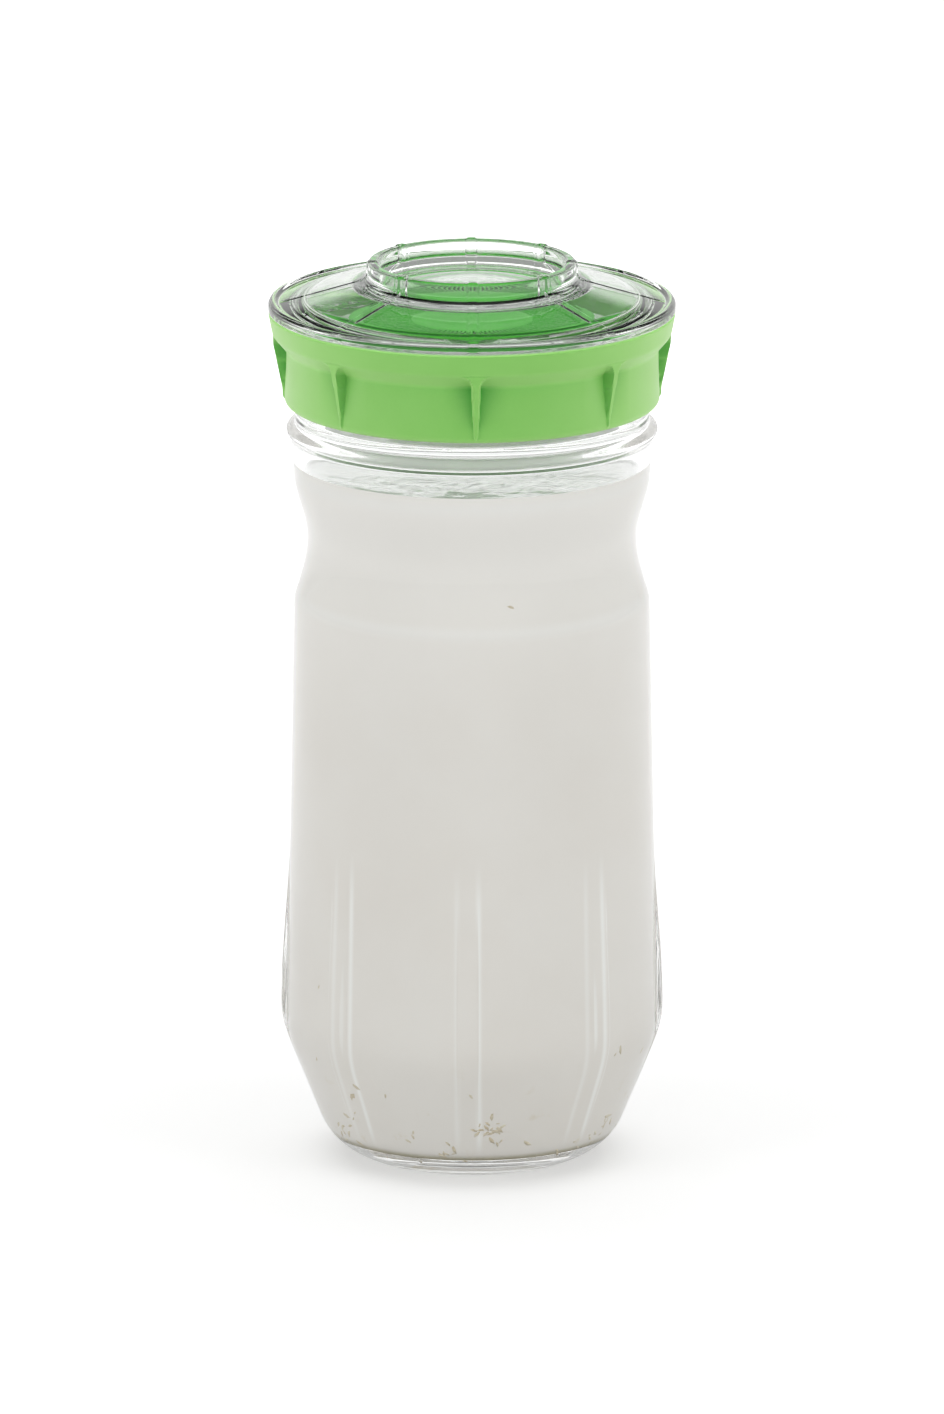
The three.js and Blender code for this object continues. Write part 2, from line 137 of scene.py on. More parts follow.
# Turns an outline round the axis, angle 0 to the front. Marks are numbers kept on the points, row by row.
def turnedMesh(name, outline, columns, marks):
    points = []
    rows = []
    for r, z in outline:
        first = len(points)
        if r < nearest:
            points.append((0, 0, z * mm))
            rows.append([first] * len(columns))
        else:
            points += [(r * mm * math.sin(a), -r * mm * math.cos(a), z * mm) for a in columns]
            rows.append(list(range(first, len(points))))
    bands = list(zip(rows, rows[1:]))
    if outline[0][0] > nearest:
        bands.append((rows[-1], rows[0]))
    faces = []
    for low, high in bands:
        for column in range(len(columns)):
            after = (column + 1) % len(columns)
            corners = (low[column], low[after], high[after], high[column])
            faces.append(list(dict.fromkeys(corners)))
    mesh = bpy.data.meshes.new(name)
    mesh.from_pydata(points, [], faces)
    for label, values in marks.items():
        stored = mesh.attributes.new(label, "FLOAT", "POINT")
        stored.data.foreach_set("value", [v for row, v in zip(rows, values) for _ in dict.fromkeys(row)])
    return mesh


def placePiece(name, mesh):
    piece = bpy.data.objects.new(name, mesh)
    bpy.context.scene.collection.objects.link(piece)
    return piece


def turnedPiece(name, outline, columns, marks):
    return placePiece(name, turnedMesh(name, outline, columns, marks))


def joinMeshes(name, meshes):
    points = []
    faces = []
    for mesh in meshes:
        first = len(points)
        points += [tuple(v.co) for v in mesh.vertices]
        faces += [[first + v for v in face.vertices] for face in mesh.polygons]
    joined = bpy.data.meshes.new(name)
    joined.from_pydata(points, [], faces)
    return joined


# Node trees
def feed(tree, node, values):  # a socket is linked, anything else is set
    for socket, value in values.items():
        if isinstance(value, bpy.types.NodeSocket):
            tree.links.new(value, node.inputs[socket])
        else:
            node.inputs[socket].default_value = value


def addNode(tree, kind, values={}, **settings):
    node = tree.nodes.new(kind)
    for setting, value in settings.items():
        setattr(node, setting, value)
    feed(tree, node, values)
    return node.outputs


def sumsIn(tree):  # a short way to place math nodes
    def sums(operation, *values):
        return addNode(tree, "ShaderNodeMath", dict(enumerate(values)), operation=operation)[0]
    return sums


def easeIn(tree, value, outside, inside):  # 0 outside, 1 inside, smooth between
    values = {"Value": value, "From Min": outside, "From Max": inside}
    return addNode(tree, "ShaderNodeMapRange", values, interpolation_type="SMOOTHSTEP")[0]


def floats(*labels):
    return dict.fromkeys(labels, "Float")


def newTree(name, kind, inputs, outputs):
    tree = bpy.data.node_groups.new(name, kind)
    for side, sockets in (("INPUT", inputs), ("OUTPUT", outputs)):
        for label, socket in sockets.items():
            tree.interface.new_socket(label, in_out=side, socket_type="NodeSocket" + socket)
    return tree, addNode(tree, "NodeGroupInput")


def startTree(name, sizes):
    inputs = {"Geometry": "Geometry"} | sizes | {"Material": "Material"}
    return newTree(name, "GeometryNodeTree", inputs, {"Geometry": "Geometry"})


def endTree(tree, inlet, geometry):
    realized = addNode(tree, "GeometryNodeRealizeInstances", {0: geometry})[0]
    values = {"Geometry": realized, "Material": inlet["Material"]}
    addNode(tree, "NodeGroupOutput", {0: addNode(tree, "GeometryNodeSetMaterial", values)[0]})
    return tree


def kept(tree, label):  # a number kept on the points, 0 where a piece has none
    return addNode(tree, "GeometryNodeInputNamedAttribute", {"Name": label}, data_type="FLOAT")["Attribute"]


def polar(tree, place):  # angle from the front, radius, height, and the place without its height
    sums = sumsIn(tree)
    x, y, z = addNode(tree, "ShaderNodeSeparateXYZ", {0: place})
    angle = sums("ARCTAN2", x, sums("MULTIPLY", y, -1.0))
    flat = addNode(tree, "ShaderNodeCombineXYZ", {0: x, 1: y})[0]
    radius = addNode(tree, "ShaderNodeVectorMath", {0: flat}, operation="LENGTH")["Value"]
    return angle, radius, z, flat


def offNearest(tree, angle, inlet):  # angle from the nearest of the evenly spaced ribs
    sums = sumsIn(tree)
    half = sums("DIVIDE", math.pi, inlet["Rib Count"])
    return sums("WRAP", sums("SUBTRACT", angle, inlet["Clock"]), half, sums("MULTIPLY", half, -1.0))


def shiftedOut(tree, geometry, flat, out, up):
    outward = addNode(tree, "ShaderNodeVectorMath", {0: flat}, operation="NORMALIZE")[0]
    scaled = addNode(tree, "ShaderNodeVectorMath", {0: outward, "Scale": out}, operation="SCALE")[0]
    lifted = addNode(tree, "ShaderNodeCombineXYZ", {2: up})[0]
    both = addNode(tree, "ShaderNodeVectorMath", {0: scaled, 1: lifted})[0]
    return addNode(tree, "GeometryNodeSetPosition", {"Geometry": geometry, "Offset": both})[0]


def makeRibTree():  # upright ribs at even steps round a turned wall, which may draw in beside each rib
    sizes = {"Rib Count": "Int"} | floats("Clock", "Half Width", "Flank", "Hollow", "Hollow Width")
    tree, inlet = startTree("ribsRoundAWall", sizes)
    sums = sumsIn(tree)
    angle, radius, _, flat = polar(tree, addNode(tree, "GeometryNodeInputPosition")[0])
    arc = sums("MULTIPLY", sums("ABSOLUTE", offNearest(tree, angle, inlet)), radius)
    spread = kept(tree, "ribSpread")
    crest = sums("MULTIPLY", inlet["Half Width"], spread)
    share = easeIn(tree, arc, sums("MULTIPLY_ADD", inlet["Flank"], spread, crest), crest)
    beside = sums("SUBTRACT", share, easeIn(tree, arc, inlet["Hollow Width"], 0.0))
    hollow = sums("MULTIPLY", beside, inlet["Hollow"])
    out = sums("MULTIPLY", sums("ADD", share, hollow), kept(tree, "ribOut"))
    up = sums("MULTIPLY", share, kept(tree, "ribUp"))
    return endTree(tree, inlet, shiftedOut(tree, inlet["Geometry"], flat, out, up))


def makeThreadTree():  # ridges that climb a wall to the right-hand rule
    crestShare = 0.4  # of a ridge's width
    sizes = {"Starts": "Int"} | floats("Clock", "Lead", "Foot", "Span", "Height", "Width", "Fade")
    tree, inlet = startTree("threadOnAWall", sizes)
    sums = sumsIn(tree)
    angle, _, z, flat = polar(tree, addNode(tree, "GeometryNodeInputPosition")[0])
    apart = sums("DIVIDE", fullTurn, inlet["Starts"])
    along = sums("WRAP", sums("SUBTRACT", angle, inlet["Clock"]), apart, 0.0)
    climbed = sums("MULTIPLY", sums("DIVIDE", along, fullTurn), inlet["Lead"])
    offRidge = sums("ABSOLUTE", sums("SUBTRACT", z, sums("ADD", inlet["Foot"], climbed)))
    half = sums("MULTIPLY", inlet["Width"], 0.5)
    section = easeIn(tree, offRidge, half, sums("MULTIPLY", half, crestShare))
    toEnd = sums("MINIMUM", climbed, sums("SUBTRACT", inlet["Span"], climbed))
    share = sums("MULTIPLY", section, easeIn(tree, toEnd, 0.0, inlet["Fade"]))
    out = sums("MULTIPLY", sums("MULTIPLY", share, inlet["Height"]), kept(tree, "threadWall"))
    return endTree(tree, inlet, shiftedOut(tree, inlet["Geometry"], flat, out, 0.0))


def makeRippleTree():  # slow uneven waves on the marked part of a surface
    tree, inlet = startTree("rippledSurface", floats("Height", "Scale", "Seed"))
    sums = sumsIn(tree)
    values = {"Detail": 3.0, "Distortion": 0.6, "W": inlet["Seed"], "Scale": inlet["Scale"]}
    noise = addNode(tree, "ShaderNodeTexNoise", values, noise_dimensions="4D")[0]
    wave = sums("MULTIPLY", sums("SUBTRACT", noise, 0.5), 2.0)
    up = sums("MULTIPLY", sums("MULTIPLY", wave, inlet["Height"]), kept(tree, "ripple"))
    return endTree(tree, inlet, shiftedOut(tree, inlet["Geometry"], (0, 0, 0), 0.0, up))


def makeBarTree():  # copies of one bar round the axis, joined to the rest of the piece
    tree, inlet = startTree("barsRoundAHub", {"Bar": "Object", "Bar Count": "Int", "Clock": "Float"})
    sums = sumsIn(tree)
    spots = addNode(tree, "GeometryNodeMeshLine", {"Count": inlet["Bar Count"], "Offset": (0, 0, 0)})[0]
    index = addNode(tree, "GeometryNodeInputIndex")[0]
    angle = sums("MULTIPLY", sums("DIVIDE", fullTurn, inlet["Bar Count"]), index)
    turned = addNode(tree, "ShaderNodeCombineXYZ", {2: sums("ADD", angle, inlet["Clock"])})[0]
    bar = addNode(tree, "GeometryNodeObjectInfo", {"Object": inlet["Bar"]})["Geometry"]
    values = {"Points": spots, "Instance": bar, "Rotation": turned}
    copies = addNode(tree, "GeometryNodeInstanceOnPoints", values)[0]
    both = tree.nodes.new("GeometryNodeJoinGeometry")
    for part in (copies, inlet["Geometry"]):
        tree.links.new(part, both.inputs[0])
    return endTree(tree, inlet, both.outputs[0])


def makeGrainTree():  # lumps strewn over a bed, thickest where its chance is high, lying flat on it
    sizes = {"Lump": "Object"} | floats("Density", "Smallest", "Largest") | {"Seed": "Int"}
    tree, inlet = startTree("grainsOnABed", sizes)
    seed = inlet["Seed"]
    density = sumsIn(tree)("MULTIPLY", inlet["Density"], kept(tree, "grainChance"))
    values = {"Mesh": inlet["Geometry"], "Density": density, "Seed": seed}
    strewn = addNode(tree, "GeometryNodeDistributePointsOnFaces", values, distribute_method="RANDOM")

    def drawn(least, most):
        values = {2: least, 3: most, "Seed": seed}
        return addNode(tree, "FunctionNodeRandomValue", values, data_type="FLOAT")[1]

    size = drawn(inlet["Smallest"], inlet["Largest"])
    about = addNode(tree, "ShaderNodeCombineXYZ", {2: drawn(0.0, fullTurn)})[0]
    values = {0: strewn["Rotation"], 1: about}
    facing = addNode(tree, "FunctionNodeRotateRotation", values, rotation_space="LOCAL")[0]
    lump = addNode(tree, "GeometryNodeObjectInfo", {"Object": inlet["Lump"]})["Geometry"]
    values = {"Points": strewn["Points"], "Instance": lump, "Rotation": facing, "Scale": size}
    return endTree(tree, inlet, addNode(tree, "GeometryNodeInstanceOnPoints", values)[0])


def useTree(piece, tree, values):  # inputs are set by identifier, before the piece is evaluated
    modifier = piece.modifiers.new(tree.name, "NODES")
    modifier.node_group = tree
    for item in tree.interface.items_tree:
        if item.in_out == "INPUT" and item.name in values:
            modifier[item.identifier] = values[item.name]


ribTree = makeRibTree()
threadTree = makeThreadTree()
rippleTree = makeRippleTree()
barTree = makeBarTree()
grainTree = makeGrainTree()
print("node trees made")


def addRibs(piece, ribs, material):
    values = {"Rib Count": ribs["count"], "Clock": ribs["clock"], "Material": material}
    values |= {"Half Width": ribs["halfWidth"] * mm, "Flank": ribs["flank"] * mm}
    values |= {"Hollow": ribs.get("hollow", 0.0), "Hollow Width": ribs.get("hollowWidth", 0) * mm}
    useTree(piece, ribTree, values)


def addThread(piece, thread, clock, foot, side, material):  # side is 1 on an outer wall and -1 in a bore
    values = {"Starts": thread["starts"], "Clock": clock, "Foot": foot * mm, "Material": material}
    values |= {label.title(): thread[label] * mm for label in ("lead", "width", "span", "fade")}
    useTree(piece, threadTree, values | {"Height": side * thread["height"] * mm})


def settle(piece, sharpAngle):  # the nodes' result becomes a plain smooth mesh
    shown = piece.evaluated_get(bpy.context.evaluated_depsgraph_get())
    solid = bpy.data.meshes.new_from_object(shown)
    piece.modifiers.clear()
    piece.data = solid
    for label in ("ribOut", "ribUp", "ribSpread", "threadWall", "ripple"):
        if label in solid.attributes:
            solid.attributes.remove(solid.attributes[label])
    solid.shade_smooth()
    solid.set_sharp_from_angle(angle=math.radians(sharpAngle))


def dress(piece, body, slot, *nodes):
    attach(piece, body)
    if nodes:
        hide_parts(*nodes)


# Shared finishes
def noiseAt(tree, place, scale, detail, roughness=0.5):
    values = {"Vector": place, "Scale": scale, "Detail": detail, "Roughness": roughness}
    return addNode(tree, "ShaderNodeTexNoise", values)["Fac"]


def mixColours(tree, share, first, second):
    return addNode(tree, "ShaderNodeMix", {0: share, 6: first, 7: second}, data_type="RGBA")[2]


def newGroup(name, inputs, outputs):
    return newTree(name, "ShaderNodeTree", {"Place": "Vector"} | inputs, outputs)


def makeMouldGroup():  # slow waves of a mould and the fine grain of its face
    sizes = floats("Wave Scale", "Grain Scale", "Grain Share")
    group, inlet = newGroup("mouldedFace", sizes, floats("Height", "Patch"))
    wave = noiseAt(group, inlet["Place"], inlet["Wave Scale"], 2.0)
    grain = noiseAt(group, inlet["Place"], inlet["Grain Scale"], 3.0, 0.6)
    height = sumsIn(group)("MULTIPLY_ADD", grain, inlet["Grain Share"], wave)
    patch = noiseAt(group, inlet["Place"], inlet["Wave Scale"], 4.0, 0.6)
    addNode(group, "NodeGroupOutput", {"Height": height, "Patch": patch})
    return group


def makeMottleGroup():  # cloudy patches between two colours
    inputs = {"Scale": "Float", "Pale": "Color", "Deep": "Color"}
    group, inlet = newGroup("cloudyColour", inputs, {"Color": "Color"})
    cloud = noiseAt(group, inlet["Place"], inlet["Scale"], 5.0, 0.55)
    spread = easeIn(group, cloud, 0.36, 0.66)
    addNode(group, "NodeGroupOutput", {"Color": mixColours(group, spread, inlet["Pale"], inlet["Deep"])})
    return group


def makeRibLightGroup():  # the two lines of light that a rib gathers on what stands behind it
    fadeIn, fadeOut = 2.0, 0.8  # where the lines are full, as shares of their foot and top
    sizes = floats("Rib Count", "Clock", "Apart", "Width", "Foot", "Top", "Left Share")
    group, inlet = newGroup("ribLight", sizes, floats("Light"))
    sums = sumsIn(group)
    angle, radius, z, _ = polar(group, inlet["Place"])
    offRib = offNearest(group, angle, inlet)
    arc = sums("MULTIPLY", sums("ABSOLUTE", offRib), radius)
    offLine = sums("ABSOLUTE", sums("SUBTRACT", arc, sums("MULTIPLY", inlet["Apart"], 0.5)))
    line = easeIn(group, offLine, inlet["Width"], 0.0)
    low = easeIn(group, z, inlet["Foot"], sums("MULTIPLY", inlet["Foot"], fadeIn))
    high = easeIn(group, z, inlet["Top"], sums("MULTIPLY", inlet["Top"], fadeOut))
    left = sums("LESS_THAN", offRib, 0.0)
    side = sums("MULTIPLY_ADD", left, sums("SUBTRACT", inlet["Left Share"], 1.0), 1.0)
    light = sums("MULTIPLY", sums("MULTIPLY", line, sums("MULTIPLY", low, high)), side)
    addNode(group, "NodeGroupOutput", {"Light": light})
    return group


mouldGroup = makeMouldGroup()
mottleGroup = makeMottleGroup()
ribLightGroup = makeRibLightGroup()


def newMaterial(name, shader):  # a Principled shader with plain values set on its own sockets
    material = bpy.data.materials.new(name)
    material.use_nodes = True
    tree = material.node_tree
    surface = tree.nodes["Principled BSDF"]
    feed(tree, surface, shader)
    return material, tree, surface, addNode(tree, "ShaderNodeTexCoord")["Object"]


def placeGroup(tree, group, place, values):
    return addNode(tree, "ShaderNodeGroup", values | {"Place": place}, node_tree=group)


def mouldFace(tree, surface, place, face):  # relief of a moulded face, and its patches where it has them
    values = {"Wave Scale": face["waves"], "Grain Scale": face["grain"], "Grain Share": face["grainShare"]}
    moulded = placeGroup(tree, mouldGroup, place, values)
    bump = {"Strength": face["relief"], "Distance": face["depth"] * mm, "Height": moulded["Height"]}
    feed(tree, surface, {"Normal": addNode(tree, "ShaderNodeBump", bump)[0]})
    if "patchy" in face:
        rough = sumsIn(tree)("MULTIPLY_ADD", moulded["Patch"], face["patchy"], face["smoothest"])
        feed(tree, surface, {"Roughness": rough})


def makeMoulded(name, finish):  # cloudy colour on a moulded face
    material, tree, surface, place = newMaterial(name, finish["shader"])
    feed(tree, surface, {"Base Color": placeGroup(tree, mottleGroup, place, finish["colours"])["Color"]})
    mouldFace(tree, surface, place, finish["face"])
    return material


clearFinish = {
    "shader": {"Roughness": 0.0, "Transmission Weight": 1.0},
    "glass": {
        "shader": {"Base Color": (0.985, 0.992, 0.985, 1), "IOR": 1.5},
        "face": {"waves": 70.0, "grain": 260.0, "grainShare": 0.15, "relief": 0.25, "depth": 0.12},
        "shade": (0.97, 0.98, 0.97, 1),
    },
    "plastic": {
        "shader": {"Base Color": (0.985, 0.99, 0.985, 1), "IOR": 1.54},
        "face": {"waves": 120.0, "grain": 400.0, "grainShare": 0.1, "relief": 0.25, "depth": 0.05},
        "shade": (0.9, 0.96, 0.9, 1),
    },
}


def makeClear(name, finish):  # lamps reach what stands behind clear walls
    material, tree, surface, place = newMaterial(name, clearFinish["shader"] | finish["shader"])
    mouldFace(tree, surface, place, finish["face"])
    path = addNode(tree, "ShaderNodeLightPath")
    unseen = sumsIn(tree)("MAXIMUM", path["Is Shadow Ray"], path["Is Diffuse Ray"])
    passing = addNode(tree, "ShaderNodeBsdfTransparent", {"Color": finish["shade"]})[0]
    both = addNode(tree, "ShaderNodeMixShader", {0: unseen, 1: surface.outputs[0], 2: passing})[0]
    feed(tree, tree.nodes["Material Output"], {"Surface": both})
    return material


greenFinish = {
    "shader": {"IOR": 1.47},
    "ring": {"Scale": 40.0, "Pale": (0.25, 0.63, 0.125, 1), "Deep": (0.23, 0.605, 0.11, 1)},
    # painted shade: the strainer is the ring's green plastic, painted deeper and more saturated to stand in
    # for its shade under the cover
    "strainer": {"Scale": 40.0, "Pale": (0.09, 0.62, 0.04, 1), "Deep": (0.07, 0.57, 0.03, 1)},
    "sheen": {"ring": 1.0, "strainer": 0.0},
    # painted sheen: the paler green mixed in where the face turns away from the eye
    "paintedSheen": (0.52, 0.9, 0.3, 1),
    # painted shade: the deep green that ambient occlusion mixes into corners and recesses
    "corner": (0.006, 0.28, 0.006, 1),
    "cornerShadeReach": 16 * mm,
    "cornerShadePower": 2.4,
    "cornerShadeSamples": 8,
    "face": {"waves": 160.0, "grain": 5200.0, "grainShare": 0.35, "relief": 0.3, "depth": 0.03,
             "smoothest": 0.32, "patchy": 0.16},
}


def makeGreenPlastic(name, kind):  # satin, with painted shade deepening its corners and, where its sheen share is set, a painted sheen paling it where it turns away
    material, tree, surface, place = newMaterial(name, greenFinish["shader"])
    sums = sumsIn(tree)
    plain = placeGroup(tree, mottleGroup, place, greenFinish[kind])["Color"]
    # painted shade: ambient occlusion darkens corners and recesses towards the corner colour
    corners = addNode(tree, "ShaderNodeAmbientOcclusion", {"Distance": greenFinish["cornerShadeReach"]},
                      samples=greenFinish["cornerShadeSamples"], only_local=True)
    clear = sums("POWER", corners["AO"], greenFinish["cornerShadePower"])
    shaded = mixColours(tree, clear, greenFinish["corner"], plain)
    # painted sheen: the colour pales towards the paler green where the face turns away from the eye
    facing = addNode(tree, "ShaderNodeLayerWeight")["Facing"]
    away = sums("MULTIPLY", facing, greenFinish["sheen"][kind])
    feed(tree, surface, {"Base Color": mixColours(tree, away, shaded, greenFinish["paintedSheen"])})
    mouldFace(tree, surface, place, greenFinish["face"])
    return material


siliconeFinish = {
    "shader": {"IOR": 1.41},
    "colours": {"Scale": 70.0, "Pale": (0.83, 0.86, 0.82, 1), "Deep": (0.76, 0.8, 0.75, 1)},
    "face": {"waves": 120.0, "grain": 3000.0, "grainShare": 0.5, "relief": 0.4, "depth": 0.04,
             "smoothest": 0.5, "patchy": 0.2},
}
grainFinish = {
    "shader": {"Roughness": 0.6, "Specular IOR Level": 0.1},
    "colours": {"Scale": 420.0, "Pale": (0.74, 0.68, 0.55, 1), "Deep": (0.62, 0.53, 0.38, 1)},
    "face": {"waves": 500.0, "grain": 3000.0, "grainShare": 0.4, "relief": 0.6, "depth": 0.2},
}
kefirFinish = {
    "behindGlass": {
        "shader": {"Roughness": 0.6, "Specular IOR Level": 0.0},
        "colours": {"Scale": 26.0, "Pale": (0.855, 0.825, 0.785, 1), "Deep": (0.835, 0.8, 0.755, 1)},
    },
    "wetTop": {
        "shader": {"Roughness": 0.1, "IOR": 1.6, "Coat Weight": 1.0, "Coat Roughness": 0.03, "Coat IOR": 2.0,
                   "Subsurface Weight": 1.0, "Subsurface Radius": (1, 0.95, 0.9),
                   "Subsurface Scale": 150 * mm},
        # painted light: the top is the same kefir as behind the glass, painted much paler to stand in for
        # light on its surface
        "colours": {"Scale": 26.0, "Pale": (0.97, 0.965, 0.95, 1), "Deep": (0.93, 0.92, 0.895, 1)},
        "face": {"waves": 220.0, "grain": 900.0, "grainShare": 0.3, "relief": 0.5, "depth": 0.5},
    },
    "creamy": (0.935, 0.91, 0.875, 1),
    "creamyRise": (100 * mm, 168 * mm),
    "stain": (0.70, 0.62, 0.47, 1),
    "stainFall": (42 * mm, 8 * mm),
    "stainShare": 0.55,
    "blotScale": 190.0,
    "blotEdge": (0.6, 0.78),
    "lit": (0.95, 0.94, 0.915, 1),
    "ribLight": {"Rib Count": 8, "Clock": math.radians(-1.4), "Apart": 5.0 * mm, "Width": 1.1 * mm,
                 "Foot": 7 * mm, "Top": 84 * mm, "Left Share": 0.5},
    "turns": (138 * mm, 169 * mm),  # where the glass turns and gathers light
    "turnWidth": 2.4 * mm,
    "turnShare": 0.5,
    # an olive band along the foot of the kefir, full below 6.6 mm and gone above 8.4 mm
    "oliveBottomBand": (0.4, 0.36, 0.22, 1),
    "oliveBottomFade": (8.4 * mm, 6.6 * mm),
}


def makeKefir(name, finish):  # creamier upwards, stained low down, lit where the glass gathers light
    material, tree, surface, place = newMaterial(name, finish["shader"])
    sums = sumsIn(tree)
    z = addNode(tree, "ShaderNodeSeparateXYZ", {0: place})[2]
    low = easeIn(tree, z, *kefirFinish["stainFall"])
    blots = easeIn(tree, noiseAt(tree, place, kefirFinish["blotScale"], 4.0, 0.6), *kefirFinish["blotEdge"])
    gathered = placeGroup(tree, ribLightGroup, place, kefirFinish["ribLight"])["Light"]
    for turn in kefirFinish["turns"]:
        off = sums("ABSOLUTE", sums("SUBTRACT", z, turn))
        line = easeIn(tree, off, kefirFinish["turnWidth"], 0.0)
        gathered = sums("MAXIMUM", gathered, sums("MULTIPLY", line, kefirFinish["turnShare"]))
    layers = {
        "creamy": easeIn(tree, z, *kefirFinish["creamyRise"]),
        "stain": sums("MULTIPLY", sums("MULTIPLY", low, blots), kefirFinish["stainShare"]),
        "lit": gathered,
        "oliveBottomBand": easeIn(tree, z, *kefirFinish["oliveBottomFade"]),
    }
    colour = placeGroup(tree, mottleGroup, place, finish["colours"])["Color"]
    for layer, share in layers.items():
        colour = mixColours(tree, share, colour, kefirFinish[layer])
    feed(tree, surface, {"Base Color": colour})
    if "face" in finish:
        mouldFace(tree, surface, place, finish["face"])
    return material


clearGlass = makeClear("clearGlass", clearFinish["glass"])
clearPlastic = makeClear("clearPlastic", clearFinish["plastic"])
greenPlastic = makeGreenPlastic("greenPlastic", "ring")
shadedStrainerPlastic = makeGreenPlastic("shadedStrainerPlastic", "strainer")
paleSilicone = makeMoulded("paleSilicone", siliconeFinish)
kefirBehindGlass = makeKefir("kefirBehindGlass", kefirFinish["behindGlass"])
kefirWetTop = makeKefir("kefirWetTop", kefirFinish["wetTop"])
kefirGrain = makeMoulded("kefirGrain", grainFinish)
print("finishes made")

# Glass jar
jar = {
    "rim": topOf("glass_jar"),
    "wall": 3,
    "floor": 5,
    "footRadius": 22,
    "footWidth": 5,
    "footHollow": 1,
    "hollowHandle": (2, 0.2),
    "heel": 16,
    "floorRadius": 27.5,
    "innerHeel": 7,
    "shoulder": (44.85, 30.5),
    "shoulderEase": 4,
    "ridge": (42.85, 138),
    "ridgeEase": 1.6,
    "waist": (39.6, 153),
    "neck": (42.9, 169.5),
    "beadFoot": 176,
    "beadFlare": 0.7,
    "flareHandle": 0.1,
    "beadStart": 1.6,
    "beadCrest": 3.6,
    "beadHandle": 1,
    "beadProud": 1.7,
    "beadWidth": 6,
    "throat": (-1.5, 1.5, 2.5, 5.5),  # start, handles and end of the inner curve, over the bead's top
    "collarProud": 1.6,
    "collarHeight": 2.6,
    "collarHandle": 1.2,
    "collarEase": 0.5,
    "mouth": 41,
    "mouthRows": 32,
    "rimEase": 1,
    "rowStep": 1.6,
    "innerRowStep": 3,
    "sharpAngle": 50,
}
jarRibs = {
    "count": 8,
    "clock": math.radians(-1.4),
    "reach": 0.066,
    "reachSteps": 24,
    "proud": 1.4,
    "halfWidth": 1.9,
    "flank": 0.9,
    "foot": 6,
    "bend": 27,
    "crest": 38,
    "lowShare": 0.22,  # what is left of a rib on the tapered foot
    "top": 79,
    "fade": 38,
}
jarThread = {"starts": 2, "lead": 10, "height": 1.2, "width": 2, "span": 4.2, "margin": 1.4, "fade": 1.0}


def heelOutline(outline, centre, heel, inset):
    shoulder = Vector((jar["shoulder"][0] - inset, jar["shoulder"][1] + inset / 2))
    reach = shoulder - centre
    leaving = math.atan2(reach.y, reach.x) - math.acos(heel / reach.length)
    arcTo(outline, centre, heel, -math.pi / 2, leaving, 18)
    roundTo(outline, shoulder, (jar["ridge"][0] - inset, jar["ridge"][1]), jar["shoulderEase"], 8)


def waistOutline(outline, inset):
    ridge, waist, neck = (Vector((r - inset, z)) for r, z in (jar["ridge"], jar["waist"], jar["neck"]))
    flare = (waist.y - ridge.y) / 3
    swell = (neck.y - waist.y) / 3
    bend = Vector((ridge.x - (ridge.x - waist.x) / 2, ridge.y + flare))
    roundTo(outline, ridge, bend, jar["ridgeEase"], 6)
    curveTo(outline, bend, (waist.x, waist.y - flare), waist, 12)
    curveTo(outline, (waist.x, waist.y + swell), (neck.x, neck.y - swell), neck, 12)


def jarInside(inset, floor):  # from the middle of the floor up to the foot of the mouth
    outline = [[0, floor]]
    lineTo(outline, jar["floorRadius"], floor)
    heelOutline(outline, Vector((jar["floorRadius"], floor + jar["innerHeel"])), jar["innerHeel"], inset)
    waistOutline(outline, inset)
    neck = jar["neck"][0] - inset
    mouth = jar["mouth"] - inset
    beadTop = jar["beadFoot"] + jar["beadWidth"]
    start, handleA, handleB, end = (beadTop + level for level in jar["throat"])
    lineTo(outline, neck, start)
    curveTo(outline, (neck, handleA), (mouth, handleB), (mouth, end), 10)
    return outline


def jarOutside():
    foot = jar["footRadius"] - jar["footWidth"]
    inward, rise = jar["hollowHandle"]
    outline = [[0, jar["footHollow"]]]
    curveTo(outline, (foot / 2, jar["footHollow"]), (foot - inward, rise), (foot, 0), 8)
    lineTo(outline, jar["footRadius"], 0, 3)
    heelOutline(outline, Vector((jar["footRadius"], jar["heel"])), jar["heel"], 0)
    waistOutline(outline, 0)
    neck, mouth, rim = jar["neck"][0], jar["mouth"], jar["rim"]
    flared = neck + jar["beadFlare"]
    bead = neck + jar["beadProud"]
    start, crest = jar["beadFoot"] + jar["beadStart"], jar["beadFoot"] + jar["beadCrest"]
    handle = jar["beadHandle"]
    beadTop = jar["beadFoot"] + jar["beadWidth"]
    collar = mouth + jar["collarProud"]
    collarTop = beadTop + jar["collarHeight"]
    lineTo(outline, flared, start)
    curveTo(outline, (flared + jar["flareHandle"], start + handle), (bead, crest - handle), (bead, crest), 10)
    curveTo(outline, (bead, crest + handle), (collar, beadTop - jar["collarHandle"]), (collar, beadTop), 10)
    mouthFoot = (mouth, collarTop + jar["collarProud"])
    roundTo(outline, (collar, collarTop), mouthFoot, jar["collarEase"], 4)
    lineTo(outline, *mouthFoot)
    wall = refined(outline, jar["rowStep"])
    first = len(wall)
    lineTo(wall, mouth, rim - jar["rimEase"], jar["mouthRows"])
    threadRows = range(first, len(wall))
    inner = mouth - jar["wall"]
    roundTo(wall, (mouth, rim), (inner, rim), jar["rimEase"], 6)
    roundTo(wall, (inner, rim), (inner, 0), jar["rimEase"], 6)
    return wall, threadRows


def jarRibProud(z):
    rising = eased((jarRibs["top"] - z) / jarRibs["fade"])
    bending = eased((z - jarRibs["bend"]) / (jarRibs["crest"] - jarRibs["bend"]))
    dying = eased((z - jarRibs["foot"]) / (jarRibs["bend"] - jarRibs["foot"]))
    low = jarRibs["lowShare"]
    return jarRibs["proud"] * mm * rising * dying * (low + (1 - low) * bending)


